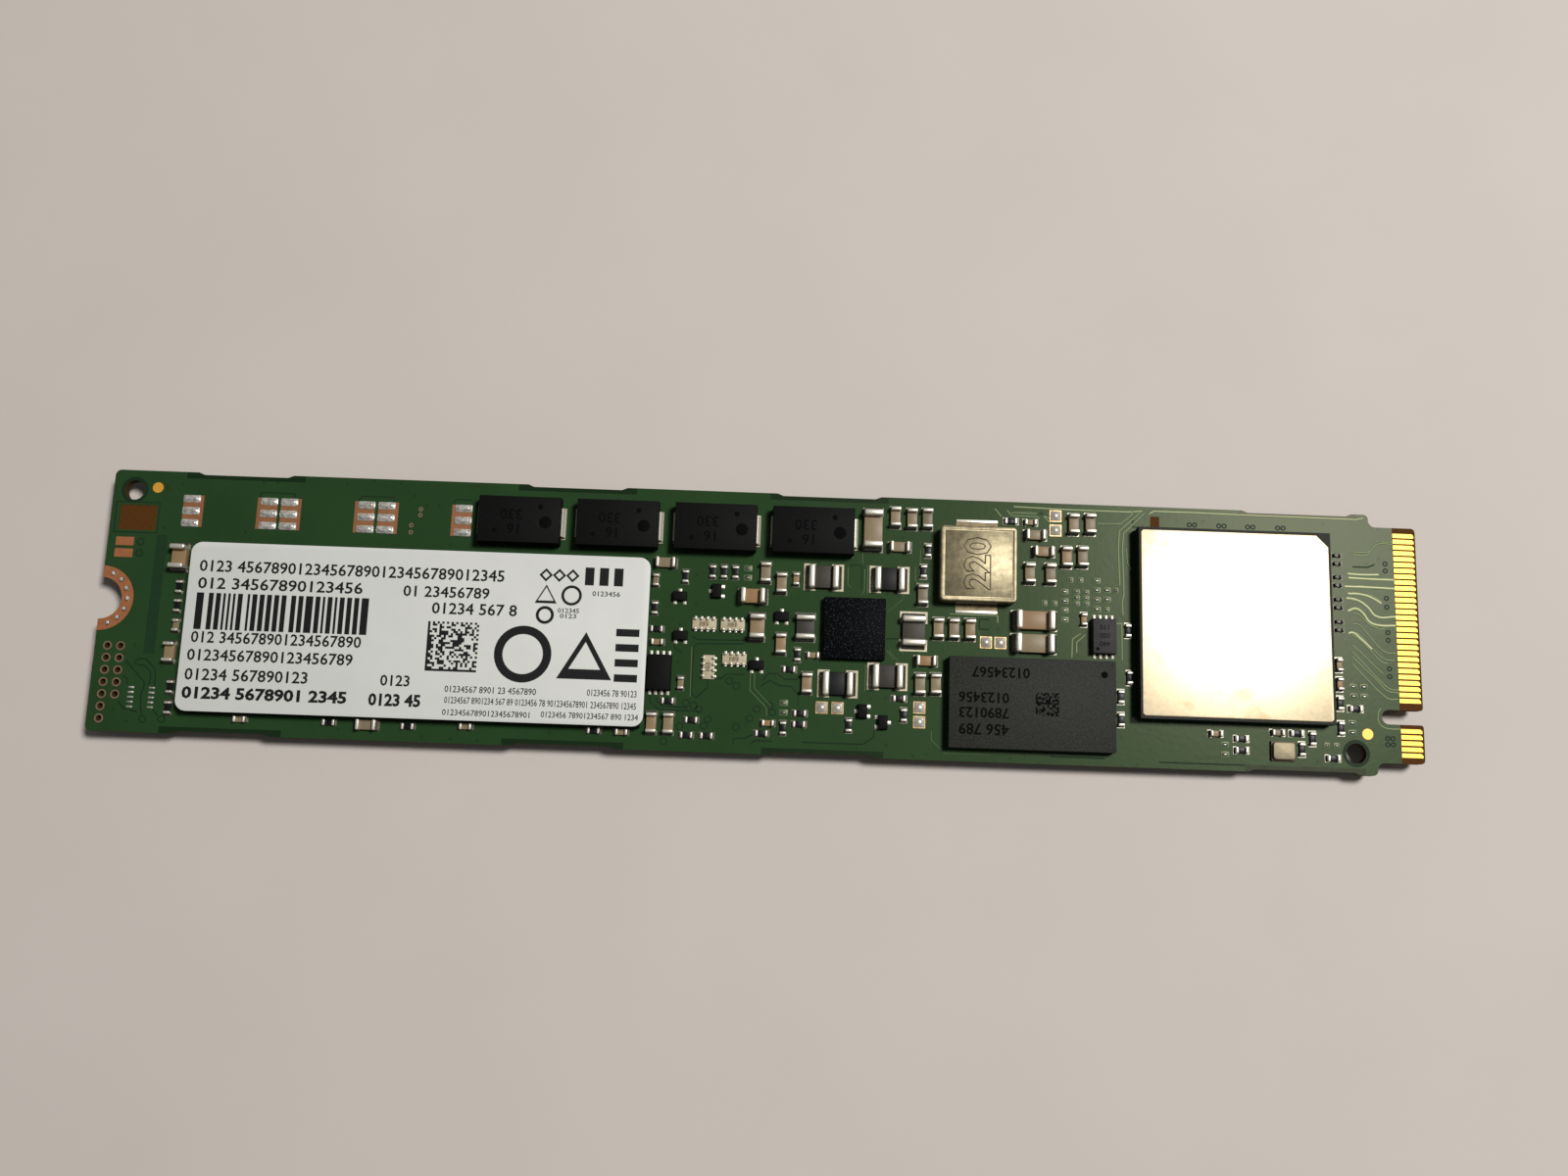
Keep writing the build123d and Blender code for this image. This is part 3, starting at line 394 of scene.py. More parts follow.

# Solder in a corner, hollow and smooth, painted dark: a painted reflection of the dark room it mirrors and painted
# shade beside tall bodies; solder on bare pads, dull; and solder on the smallest chips, painted dark as shade
filletSolderPaintedDark = makeGrainy("filletSolderPaintedDark", {"Base Color": "77746A", "Metallic": 0.85, "Roughness": 0.34}, "545249",
                          0.2 * mm, 0.5, 0.006 * mm)
dullSolder = makeGrainy("dullSolder", {"Base Color": "94958A", "Metallic": 0.8, "Roughness": 0.38}, "686960",
                        0.25 * mm, 0.4, 0.008 * mm)

# the smallest chips' solder, painted near black as shade
smallChipSolderPaintedShade = makeGrainy("smallChipSolderPaintedShade", {"Base Color": "3B3C36", "Metallic": 0.8, "Roughness": 0.4}, "2A2B26",
                            0.2 * mm, 0.4, 0.006 * mm)

# Matt tin plate on terminals: pale warm grey with a fine crystalline grain
tinPlate = makeGrainy("mattTinPlate", {"Base Color": "DDD9CD", "Metallic": 0.55, "Roughness": 0.38}, "BFB9AA",
                      0.12 * mm, 0.6, 0.006 * mm)

# Tinned lands: flat, pale and satin
tinnedLand = makeGrainy("tinnedLand", {"Base Color": "A8A18C", "Metallic": 0.6, "Roughness": 0.5}, "8F8873",
                        0.3 * mm, 0.6, 0.004 * mm)
fluxedLand = makeGrainy("fluxStainedLand", {"Base Color": "6B5C3E", "Metallic": 0.5, "Roughness": 0.42}, "3F3420",
                        0.5 * mm, 0.5, 0.01 * mm)

# Filled epoxy mould: charcoal with pale filler specks; specks are drawn coarser than the real 0.05 mm to show
memoryMould = makeGrainy("filledEpoxyMould", {"Base Color": "33342F", "Roughness": 0.62, "Specular IOR Level": 0.12}, "20211E", 0.14 * mm, 0.25,
                         0.008 * mm, 6.0)
blackMould = makeGrainy("blackEpoxyMould", {"Base Color": "131413", "Roughness": 0.6, "Specular IOR Level": 0.06}, "0C0D0C", 0.2 * mm, 0.4,
                        0.006 * mm, 5.0)
# the power chip: near black, its rare pale specks are painted glints
powerChipMould = makeGrainy("semiGlossMouldPaintedGlints", {"Base Color": "07090C", "Roughness": 0.5, "Specular IOR Level": 0.02},
                            "5A5E61", 0.11 * mm, 0.07, 0.02 * mm, 2.0, 0.66)
greyChipMould = makeGrainy("greyEpoxyMould", {"Base Color": "3E3B3C", "Roughness": 0.6, "Specular IOR Level": 0.12}, "312E30", 0.15 * mm, 0.3,
                           0.006 * mm, 5.0)

# Package laminate: a thin green-brown board under each mould
packageLaminate = makeGrainy("packageLaminate", {"Base Color": "2F3019", "Roughness": 0.5, "Specular IOR Level": 0.2}, "232C1A", 0.4 * mm, 0.6)

# Pressed iron powder: brown-grey metallic grains, darker in the pores
ironPowder = makeGrainy("pressedIronPowder", {"Base Color": "8C8265", "Metallic": 0.6, "Roughness": 0.42}, "675E48",
                        0.5 * mm, 0.4, 0.02 * mm, 7.0)
# the number's outline: the iron painted darker, as shade in its groove
numberRimPaintedShade = makeGrainy("ironRimPaintedShade", {"Base Color": "463F2F", "Metallic": 0.5, "Roughness": 0.4}, "332D20",
                        0.3 * mm, 0.5, 0.004 * mm)

# Glazed alumina: black on resistors, cream on the arrays
blackGlaze = makeGrainy("blackGlazedAlumina", {"Base Color": "111112", "Roughness": 0.35, "Specular IOR Level": 0.15}, "19191A",
                        0.3 * mm, 0.5)
creamGlaze = makeGrainy("creamGlazedAlumina", {"Base Color": "BDB298", "Roughness": 0.45, "Specular IOR Level": 0.2}, "A89D82", 0.25 * mm, 0.5,
                        0.004 * mm)

# Marks: laser marking on moulds, a shade off the mould's own colour
darkMark = makeGrainy("laserMarkDark", {"Base Color": "060606", "Roughness": 0.75, "Specular IOR Level": 0.04}, "0A0A0A", 0.2 * mm, 0.5)
brownMark = makeGrainy("printOnCream", {"Base Color": "5C4A30", "Roughness": 0.6, "Specular IOR Level": 0.2}, "7B6849", 0.2 * mm, 0.5)

# Crystal can: nickel iron, satin and warm; its ceramic base is dark
crystalCan = makeGrainy("nickelIronCan", {"Base Color": "837960", "Metallic": 0.55, "Roughness": 0.52}, "736A54",
                        0.4 * mm, 0.6, 0.003 * mm)
crystalCeramic = makeGrainy("darkCeramic", {"Base Color": "5B4A36", "Roughness": 0.5}, "4A3B2A", 0.3 * mm, 0.5)


# Fired ceramic of the capacitors: each chip has its own tone, from grey-brown over tan to orange-brown
def makeToned(name, tones, roughness, grain, bumpDepth):
    material, tree, surface, place = newMaterial(name, {"Roughness": roughness, "Specular IOR Level": 0.2})
    tone = addNode(tree, "ShaderNodeAttribute", attribute_name="tone")
    noise = addNode(tree, "ShaderNodeTexNoise", {"Scale": 1 / grain, "Detail": 3.0}, {"Vector": place})
    shifted = addNode(tree, "ShaderNodeMath", {1: 0.3, 2: -0.15}, {0: noise.outputs["Fac"]}, operation="MULTIPLY_ADD")
    summed = addNode(tree, "ShaderNodeMath", links={0: tone.outputs["Fac"], 1: shifted.outputs[0]}, operation="ADD")
    ramp = addNode(tree, "ShaderNodeValToRGB", links={"Fac": summed.outputs[0]})
    stops = ramp.color_ramp.elements
    stops[0].color = srgb(tones[0])
    stops[1].color = srgb(tones[-1])
    for i, code in enumerate(tones[1:-1]):
        stops.new((i + 1) / (len(tones) - 1)).color = srgb(code)
    tree.links.new(ramp.outputs["Color"], surface.inputs["Base Color"])
    bump = addNode(tree, "ShaderNodeBump", {"Strength": 0.5, "Distance": bumpDepth}, {"Height": noise.outputs["Fac"]})
    tree.links.new(bump.outputs["Normal"], surface.inputs["Normal"])
    return material


firedCeramic = makeToned("firedCeramic", ["5E584C", "7A6E58", "84745A", "8C6C48"], 0.4, 0.3 * mm, 0.006 * mm)
pressedFerrite = makeToned("pressedFerrite", ["0C0C0D", "33302A", "484438"], 0.5, 0.2 * mm, 0.008 * mm)


# Nickel plated copper: the heat spreader's satin face, pale and warm, with finger smudges and fine rub marks
def makeSpreaderMetal():
    material, tree, surface, place = newMaterial("nickelPlatedCopper", {"Base Color": "E6D3AE", "Metallic": 1.0, "Roughness": 0.4})
    smudge = addNode(tree, "ShaderNodeTexNoise", {"Scale": 1 / (3.0 * mm), "Detail": 8.0, "Roughness": 0.65}, {"Vector": place})
    dirt = addNode(tree, "ShaderNodeMapRange", {1: 0.52, 2: 0.7}, {0: smudge.outputs["Fac"]})
    tint = addNode(tree, "ShaderNodeMix", {6: srgb("E9D7B4"), 7: srgb("C6B189")}, {"Factor": dirt.outputs[0]}, data_type="RGBA")
    tree.links.new(tint.outputs[2], surface.inputs["Base Color"])
    rub = addNode(tree, "ShaderNodeTexNoise", {"Scale": 1 / (0.35 * mm), "Detail": 4.0}, {"Vector": place})
    rough = addNode(tree, "ShaderNodeMapRange", {3: 0.36, 4: 0.5}, {0: rub.outputs["Fac"]})
    tree.links.new(rough.outputs[0], surface.inputs["Roughness"])
    bump = addNode(tree, "ShaderNodeBump", {"Strength": 0.3, "Distance": 0.004 * mm}, {"Height": rub.outputs["Fac"]})
    tree.links.new(bump.outputs["Normal"], surface.inputs["Normal"])
    return material


spreaderMetal = makeSpreaderMetal()

# Coated label stock: pale cool grey, faintly soiled; thermal ink: near black, a little uneven
labelStock = makeGrainy("coatedLabelStock", {"Base Color": "D2D3CF", "Roughness": 0.5, "IOR": 1.35}, "C8C9C5", 4.0 * mm,
                        0.8, 0.0, 4.0)
labelInk = makeGrainy("thermalInk", {"Base Color": "101112", "Roughness": 0.6, "Specular IOR Level": 0.15}, "1B1C1D", 0.15 * mm, 0.6)
print("materials made")


# Chips with two plated ends. Each is modelled once, centred on its seat with its length along X, and copied to the places of its CAD solids.
# reach is how far the solder runs out past an end, climb how far up the end it wets.
chipKinds = {
    "capacitor_1206": {"length": 3.2, "width": 1.6, "height": 1.2, "end": 0.5, "round": 0.14, "reach": 0.24, "climb": 0.6,
                       "inset": 0.03, "tones": (0.55, 0.9)},
    "capacitor_0805": {"length": 2.0, "width": 1.25, "height": 1.2, "end": 0.4, "round": 0.12, "reach": 0.18, "climb": 0.6,
                       "inset": 0.03, "tones": (0.6, 1.0)},
    "capacitor_0603": {"length": 1.6, "width": 0.85, "height": 0.8, "end": 0.26, "round": 0.07, "reach": 0.12, "climb": 0.6,
                       "inset": 0.02, "tones": (0.15, 0.95)},
    "capacitor_0402": {"length": 1.0, "width": 0.5, "height": 0.5, "end": 0.22, "round": 0.07, "reach": 0.07, "climb": 0.65,
                       "inset": 0.015, "tones": (0.3, 0.95)},
    "underside_capacitor": {"length": 1.0, "width": 0.5, "height": 0.5, "end": 0.22, "round": 0.07, "reach": 0.07,
                            "climb": 0.65, "inset": 0.015, "tones": (0.3, 0.95)},
    # the coupling capacitors' tones stay at the dark end of the ceramic: painted shade
    "coupling_capacitor": {"length": 0.6, "width": 0.3, "height": 0.3, "end": 0.15, "round": 0.04, "reach": 0.06,
                           "climb": 0.6, "inset": 0.01, "tones": (0.0, 0.12)},
    "resistor": {"length": 1.0, "width": 0.5, "height": 0.35, "end": 0.2, "round": 0.05, "reach": 0.08, "climb": 0.8,
                 "inset": 0.012, "tones": (0.5, 0.5)},
    "chip_inductor": {"length": 2.5, "width": 2.0, "height": 1.0, "end": 0.52, "round": 0.16, "reach": 0.24, "climb": 0.4,
                      "inset": 0.05, "tones": (0.0, 1.0)},
    "small_inductor": {"length": 2.0, "width": 1.6, "height": 0.9, "end": 0.42, "round": 0.14, "reach": 0.16, "climb": 0.5,
                       "inset": 0.04, "tones": (0.55, 0.6)},
}


def bothEnds(name, pieces):
    # the right end's pieces, and the same turned round to the left end
    rightSide = joinPieces(name + "Right", pieces)
    leftSide = rightSide.copy()
    leftSide.data = rightSide.data.copy()
    bpy.context.collection.objects.link(leftSide)
    leftSide.rotation_euler = (0, 0, math.pi)
    return joinPieces(name, [rightSide, leftSide])


def modelChip(name, s):
    length, width, height, end = (s[key] * mm for key in ("length", "width", "height", "end"))
    inset, reach = s["inset"] * mm, s["reach"] * mm
    # body: runs under the plated ends
    body = addBox(name + "Body", (length - end, width - 2 * inset, height - 2 * inset), (0, 0, height / 2))
    softenEdges(body, 0.4 * s["round"] * mm, 2)
    # one plated end, rounded all over, then its twin
    cap = addBox(name + "End", (end, width, height), ((length - end) / 2, 0, height / 2))
    softenEdges(cap, s["round"] * mm, 3)
    # solder: a wedge whose outer top edge is hollowed, on a thin tinned pad that shows past it; both take the solder
    # painted dark, as painted shade and a painted reflection of the dark room
    climb = s["climb"] * height
    wedge = addBox(name + "Solder", (reach + 0.25 * end, 0.94 * width, climb), (length / 2 + (reach - 0.25 * end) / 2, 0, climb / 2))
    pickEdges(wedge, lambda middle, along: abs(along.y) > 0.5 * width and middle.x > (reach - 0.3 * mm) / 2 and middle.z > 0)
    bpy.ops.mesh.bevel(offset=0.92 * min(reach, climb), segments=4, profile=0.18, affect="EDGES")
    bpy.ops.object.mode_set(mode="OBJECT")
    pad = addBox(name + "Pad", (0.7 * end + reach + 0.1 * mm, width + 0.14 * mm, 0.03 * mm),
                 (length / 2 + (reach + 0.1 * mm - 0.7 * end) / 2, 0, 0.015 * mm))
    return body, bothEnds(name + "Ends", [cap]), bothEnds(name + "Solder", [wedge, pad])


def chipSpots(name, s):
    # where each chip of a kind sits: the foot of its CAD body, and the way it is turned
    spots = []
    for centre, size in solidsOf(name + "_bodies"):
        turn = 0.0 if size.x > size.y - 0.001 * mm else rightAngle
        over = centre.z < boardBottom
        if over:
            seat = boardBottom
        else:
            seat = centre.z + size.z / 2 - s["height"] * mm
            seat = min((boardTop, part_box("chip_inductor_lands")[1].z), key=lambda level: abs(level - seat))
        spots.append((Vector((centre.x, centre.y, seat)), turn, over))
    return spots


bodyMaterials = {"resistor": (blackGlaze, "resistor_ceramic"), "chip_inductor": (pressedFerrite, "chip_inductor_core"),
                 "small_inductor": (pressedFerrite, "chip_inductor_core")}
inductorTones = {(5.0, 3.9): 0.62, (10.5, 3.9): 0.0, (6.4, -5.0): 0.0, (10.5, -4.25): 0.5, (12.6, -0.4): 0.72}

chipSolder, fineSolder = [], []
for kind, settings in chipKinds.items():
    random.seed(kind)
    body, ends, solder = modelChip(kind, settings)
    bodies, plated = [], []
    for place, turn, over in chipSpots(kind, settings):
        tone = random.uniform(*settings["tones"])
        if kind == "chip_inductor":
            tone = min(inductorTones.items(), key=lambda item: math.dist(item[0], (place.x / mm, place.y / mm)))[1]
        bodies.append(copyTo(body, place, turn, tone, over))
        plated.append(copyTo(ends, place, turn, random.random(), over))
        (fineSolder if kind == "coupling_capacitor" else chipSolder).append(copyTo(solder, place, turn, 0.5, over))
    removeMaster(body, ends, solder)
    material, slotName = bodyMaterials.get(kind, (firedCeramic, "capacitor_ceramic"))
    camel = kind.title().replace("_", "")
    finishPiece(joinPieces("body" + camel, bodies), material, [kind + "_bodies"])
    finishPiece(joinPieces("ends" + camel, plated), smallChipSolderPaintedShade if kind == "coupling_capacitor" else tinPlate,
                [kind + "_ends"])
finishPiece(joinPieces("chipSolder", chipSolder), filletSolderPaintedDark)
finishPiece(joinPieces("couplingSolder", fineSolder), smallChipSolderPaintedShade)
print("chips with plated ends made")


# Resistor arrays: a cream chip with four terminals along each long side

arraySettings = {"length": 2.0, "width": 0.98, "height": 0.42, "pitch": 0.5, "terminal": (0.24, 0.22, 0.45), "foot": 0.16}


def modelArray(s):
    body = addBox("arrayBody", (s["length"] * mm, s["width"] * mm, s["height"] * mm), (0, 0, s["height"] * mm / 2))
    softenEdges(body, 0.04 * mm)
    long, deep, high = (value * mm for value in s["terminal"])
    feet = []
    for column in range(4):
        for side in (1, -1):
            x = (column - 1.5) * s["pitch"] * mm
            tab = addBox("arrayTab", (long, deep, high), (x, side * 0.42 * mm, high / 2))
            softenEdges(tab, 0.07 * mm, 3)
            foot = addBox("arrayFoot", (long, s["foot"] * mm, 0.12 * mm), (x, side * 0.57 * mm, 0.06 * mm))
            softenEdges(foot, 0.05 * mm)
            feet += [tab, foot]
    return body, joinPieces("arrayTerminals", feet)


body, terminals = modelArray(arraySettings)
bodies, plated, marks = [], [], []
for number, (centre, size) in enumerate(solidsOf("resistor_array_bodies")):
    turn = 0.0 if size.x > size.y else rightAngle
    seat = Vector((centre.x, centre.y, boardTop))
    bodies.append(copyTo(body, seat, turn))
    plated.append(copyTo(terminals, seat, turn))
    marks.append(addMark("103", 0.4 * mm, seat + Vector((0, 0, arraySettings["height"] * mm + 0.002 * mm)), turn))
removeMaster(body, terminals)
finishPiece(joinPieces("arrayBodies", bodies), creamGlaze, ["resistor_array_bodies"])
finishPiece(joinPieces("arrayTerminals", plated), tinPlate, ["resistor_array_terminals"])
finishPiece(joinPieces("arrayMarks", marks), brownMark)
print("resistor arrays made")


# Gull-wing lead, modelled with its foot along +Y: the foot lies on a solder pad and its heel climbs to the body.
def modelLead(width, reach, thickness, rise):
    foot = addBox("leadFoot", (width, reach, thickness), (0, reach / 2, thickness / 2))
    pickFaces(foot, lambda middle, normal: normal.y < -0.9)
    bpy.ops.mesh.extrude_region_move(TRANSFORM_OT_translate={"value": (0, -0.35 * reach, 0)})
    bpy.ops.transform.translate(value=(0, 0, rise))
    bpy.ops.mesh.extrude_region_move(TRANSFORM_OT_translate={"value": (0, -0.3 * reach, 0)})
    bpy.ops.object.mode_set(mode="OBJECT")
    softenEdges(foot, 0.2 * thickness)
    pad = addBox("leadPad", (1.25 * width, 1.15 * reach, 0.03 * mm), (0, 0.6 * reach, 0.015 * mm))
    solder = addBox("leadSolder", (1.1 * width, 0.4 * reach, 0.8 * thickness), (0, 1.02 * reach, 0.4 * thickness))
    softenEdges(solder, 0.3 * thickness)
    return joinPieces("lead", [foot, pad, solder])


def placeLeads(nodeName, bodyNode, pieceName, rise):
    # each lead's CAD solid says where it is, and the nearest body which way it points
    centres = [centre for centre, size in solidsOf(bodyNode)]
    solids = solidsOf(nodeName)
    leads = []
    for centre, extent in solids:
        home = min(centres, key=lambda c: (c - centre).length)
        away = centre - home
        sideways = extent.x > extent.y if abs(extent.x - extent.y) > 0.004 * mm else abs(away.x) > abs(away.y)
        if pieceName == "transistorLeads":
            sideways = extent.x < extent.y
        heading = Vector((math.copysign(1, away.x), 0, 0)) if sideways else Vector((0, math.copysign(1, away.y), 0))
        turn = math.atan2(heading.y, heading.x) - rightAngle
        reach = extent.x if sideways else extent.y
        width = extent.y if sideways else extent.x
        master = modelLead(width, reach, extent.z, rise)
        leads.append(copyTo(master, Vector((centre.x, centre.y, boardTop)) - heading * reach / 2, turn))
        removeMaster(master)
    finishPiece(joinPieces(pieceName, leads), tinPlate, [nodeName])


placeLeads("transistor_leads", "transistor_bodies", "transistorLeads", 0.12 * mm)
placeLeads("leaded_chip_leads", "leaded_chip_bodies", "leadedChipLeads", 0.2 * mm)


def modelMould(name, solids, softness, draft):
    # a small moulded body over each CAD solid, drawn in a little towards its top
    moulds = []
    for centre, size in solids:
        mould = addBox(name, size, centre)
        pickFaces(mould, lambda middle, normal: normal.z > 0.9)
        bpy.ops.transform.resize(value=(draft, draft, 1))
        bpy.ops.object.mode_set(mode="OBJECT")
        softenEdges(mould, softness)
        moulds.append(mould)
    return joinPieces(name, moulds)


finishPiece(modelMould("transistorMoulds", solidsOf("transistor_bodies"), 0.05 * mm, 0.94), blackMould,
            ["transistor_bodies"])
leftChip, rightChip = solidsOf("leaded_chip_bodies")
finishPiece(modelMould("switchMould", [leftChip], 0.06 * mm, 0.97), blackMould, ["leaded_chip_bodies"])
finishPiece(modelMould("gateMould", [rightChip], 0.06 * mm, 0.97), greyChipMould)
marks = []
for row in range(3):
    spot = Vector((rightChip[0].x, rightChip[0].y + (0.75 - 0.7 * row) * mm, boardTop + 0.8 * mm + 0.003 * mm))
    marks.append(addMark("104"[row] * 2 + "0", 0.42 * mm, spot, math.pi))
marks.append(addDisc("gateDot", 0.14 * mm, 0.008 * mm, (rightChip[0].x - 0.6 * mm, rightChip[0].y - 1.1 * mm, boardTop + 0.803 * mm)))
finishPiece(joinPieces("gateMarks", marks), darkMark)
print("leaded chips made")


# Ball grid packages: flattened solder balls, a thin laminate and the mould

ballSettings = {"segments": 12, "rings": 7}


def placeBalls(nodeName, pieceName):
    solids = solidsOf(nodeName)
    size = solids[0][1]
    bpy.ops.mesh.primitive_uv_sphere_add(segments=ballSettings["segments"], ring_count=ballSettings["rings"], radius=0.5)
    ball = bpy.context.object
    ball.scale = (size.x, size.x, size.z * 1.25)
    applyScale(ball)
    # flattened where it meets the board and the package
    for side in (1, -1):
        bpy.ops.object.mode_set(mode="EDIT")
        bpy.ops.mesh.select_all(action="SELECT")
        bpy.ops.mesh.bisect(plane_co=(0, 0, side * size.z / 2), plane_no=(0, 0, side), clear_outer=True, use_fill=True)
        bpy.ops.object.mode_set(mode="OBJECT")
    balls = [copyTo(ball, centre) for centre, extent in solids]
    removeMaster(ball)
    finishPiece(joinPieces(pieceName, balls), reflowedSolder, [nodeName])


placeBalls("flash_solder_balls", "flashBalls")
placeBalls("memory_solder_balls", "memoryBalls")
placeBalls("controller_solder_balls", "controllerBalls")

flashMoulds = modelMould("flashMoulds", solidsOf("flash_moulds"), 0.05 * mm, 1.0)
finishPiece(flashMoulds, blackMould, ["flash_moulds"])
finishPiece(modelMould("memoryMoulds", solidsOf("memory_moulds"), 0.05 * mm, 1.0), memoryMould,
            ["memory_moulds"])
finishPiece(modelMould("powerChipMould", solidsOf("power_chip"), 0.04 * mm, 1.0), powerChipMould,
            ["power_chip"])
for node in ("flash_substrates", "memory_substrates", "controller_substrate"):
    paintNode(node, packageLaminate)

# Memory package: rows of plain numbers read from the far side, a code patch and the first-pin dot
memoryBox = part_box("memory_moulds")
memoryTop = memoryBox[1].z + 0.003 * mm
memoryCentre = Vector(((memoryBox[0].x + memoryBox[1].x) / 2, (memoryBox[0].y + memoryBox[1].y) / 2, memoryTop))
marks = []
for text, x, y, height in (("0123456", -4.0, 0.45, 0.85), ("7890123", -4.0, -0.8, 0.85), ("456 789", -4.0, -2.15, 0.9),
                           ("01234567", -2.6, 2.55, 0.85)):
    marks.append(addMark(text, height * mm, memoryCentre + Vector((x * mm, y * mm, 0)), math.pi, bold=0.025 * mm))
marks.append(addDisc("firstPinDot", 0.28 * mm, 0.008 * mm, memoryCentre + Vector((5.9 * mm, 2.6 * mm, 0))))
random.seed("memory code")
bpy.ops.mesh.primitive_grid_add(x_subdivisions=14, y_subdivisions=14, size=1.9 * mm, location=memoryCentre + Vector((1.2 * mm, 0, 0)))
code = bpy.context.object
pickFaces(code, lambda middle, normal: random.random() < 0.45)
bpy.ops.mesh.delete(type="FACE")
bpy.ops.object.mode_set(mode="OBJECT")
applyModifier(code, "SOLIDIFY", thickness=0.006 * mm, offset=0)
finishPiece(joinPieces("memoryMarks", marks + [code]), darkMark)
print("ball grid packages made")


# Controller: the spreader lies flush in the mould

controllerSettings = {"lidEdge": 0.06 * mm}
paintNode("controller_mould", memoryMould)

# the spreader: its CAD outline, merged, with the coined edge that the stamping leaves
lid = softenEdges(mergedCopy("controller_heat_spreader", "heatSpreader"), controllerSettings["lidEdge"], 3)
finishPiece(lid, spreaderMetal, ["controller_heat_spreader"], 30)
print("controller made")


# Power inductor: its pressed number is outlined by a fine dark bead, painted shade of the pressed-in groove; flux
# stains the lands, and solder stands along their outer edges

inductorSettings = {"number": "220", "numberHeight": 2.1 * mm, "numberWeight": 0.08 * mm, "numberRim": 0.05 * mm,
                    "coreEdge": 0.04 * mm, "landEdge": 0.24 * mm, "landEdgeHeight": 0.07 * mm}
paintNode("power_inductor_terminals", tinPlate)
paintNode("power_inductor_lands", fluxedLand)
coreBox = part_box("power_inductor_core")
coreCentre = Vector(((coreBox[0].x + coreBox[1].x) / 2, (coreBox[0].y + coreBox[1].y) / 2, coreBox[1].z))
core = softenEdges(mergedCopy("power_inductor_core", "inductorCore"), inductorSettings["coreEdge"])
finishPiece(core, ironPowder, ["power_inductor_core"], 30)
rim = addMark(inductorSettings["number"], inductorSettings["numberHeight"], coreCentre, rightAngle, 0.0,
              inductorSettings["numberWeight"], inductorSettings["numberRim"])
finishPiece(joinPieces("inductorNumberPaintedShade", [rim]), numberRimPaintedShade, (), 60)
edges = []
for centre, size in solidsOf("power_inductor_lands"):
    wide, high = inductorSettings["landEdge"], inductorSettings["landEdgeHeight"]
    outward = math.copysign(1, centre.y - coreCentre.y)
    edge = addBox("landEdge", (size.x, wide, high), (centre.x, centre.y + outward * (size.y - wide) / 2, centre.z + size.z / 2 + high / 2))
    edges.append(softenEdges(edge, 0.35 * high, 3))
finishPiece(joinPieces("inductorLandSolder", edges), tinPlate)
print("power inductor made")


# Hold-up capacitors: a black shell with a parting line, dots and a faint number, and solder at both feet, the left
# foot's painted dark as shade. Past the solder the mask laps over the lands.

holdupSettings = {"softness": 0.06 * mm, "bigDot": (2.2, -0.2, 0.52), "smallDots": ((1.75, 1.1, 0.22), (-1.95, -1.0, 0.2)),
                  "rows": (("16", -0.35, -0.8, 0.9), ("330", -0.65, 0.45, 0.9)), "solderLength": {1: 0.2 * mm, -1: 0.04 * mm},
                  "markDepth": 0.006 * mm}

bodies, marks, fillets, laps = [], [], {1: [], -1: []}, []
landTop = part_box("holdup_capacitor_lands")[1].z
for centre, size in solidsOf("holdup_capacitor_bodies"):
    sunk = Vector((0, 0, holdupSettings["markDepth"]))
    shell = addBox("holdupShell", size - sunk, centre - sunk / 2)
    # the parting line: cut round at mid height, top and foot drawn in
    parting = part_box("holdup_capacitor_terminals")[1].z
    bpy.ops.object.mode_set(mode="EDIT")
    bpy.ops.mesh.select_all(action="SELECT")
    bpy.ops.mesh.bisect(plane_co=(0, 0, parting), plane_no=(0, 0, 1))
    pickFaces(shell, lambda middle, normal: abs(normal.z) > 0.9)
    bpy.ops.transform.resize(value=(1 - 0.1 * mm / size.x, 1 - 0.1 * mm / size.y, 1))
    bpy.ops.object.mode_set(mode="OBJECT")
    softenEdges(shell, holdupSettings["softness"])
    bodies.append(shell)
    top = Vector((centre.x, centre.y, centre.z + size.z / 2 - 0.8 * holdupSettings["markDepth"]))
    for x, y, radius in (holdupSettings["bigDot"],) + holdupSettings["smallDots"]:
        marks.append(addDisc("holdupDot", radius * mm, 0.008 * mm, top + Vector((x * mm, y * mm, 0.0))))
    for text, x, y, height in holdupSettings["rows"]:
        marks.append(addMark(text, height * mm, top + Vector((x * mm, y * mm, 0.0)), math.pi, bold=0.015 * mm))
    # solder in the corner between each terminal and its land; on the left it takes the dark solder, painted shade of
    # the body
    for side in (1, -1):
        start = centre.x + side * (size.x / 2 + 0.1 * mm)
        length = holdupSettings["solderLength"][side]
        fillet = addBox("holdupSolder", (length, 2.4 * mm, 0.42 * mm), (start + side * length / 2, centre.y, landTop + 0.21 * mm))
        pickEdges(fillet, lambda middle, along: abs(along.y) > mm and middle.x * side > 0 and middle.z > 0)
        bpy.ops.mesh.bevel(offset=0.9 * length, segments=5, profile=0.2, affect="EDGES")
        bpy.ops.object.mode_set(mode="OBJECT")
        fillets[side].append(fillet)
        land = min(solidsOf("holdup_capacitor_lands"), key=lambda box: abs(box[0].x - start))
        near, far = start + side * length, land[0].x + side * (land[1].x / 2 + 0.02 * mm)
        lap = addBox("landLap", (abs(far - near), land[1].y + 0.04 * mm, landTop + 0.012 * mm - boardTop),
                     ((near + far) / 2, land[0].y, (landTop + 0.012 * mm + boardTop) / 2))
        laps.append(softenEdges(lap, 0.004 * mm, 1))
finishPiece(joinPieces("holdupBodies", bodies), blackMould, ["holdup_capacitor_bodies"])
finishPiece(joinPieces("holdupMarks", marks), darkMark)
finishPiece(joinPieces("holdupSolderRight", fillets[1]), tinPlate)
finishPiece(joinPieces("holdupSolderLeftPaintedShade", fillets[-1]), filletSolderPaintedDark)
finishPiece(joinPieces("maskOverLands", laps), solderMask)
paintNode("holdup_capacitor_terminals", tinPlate)


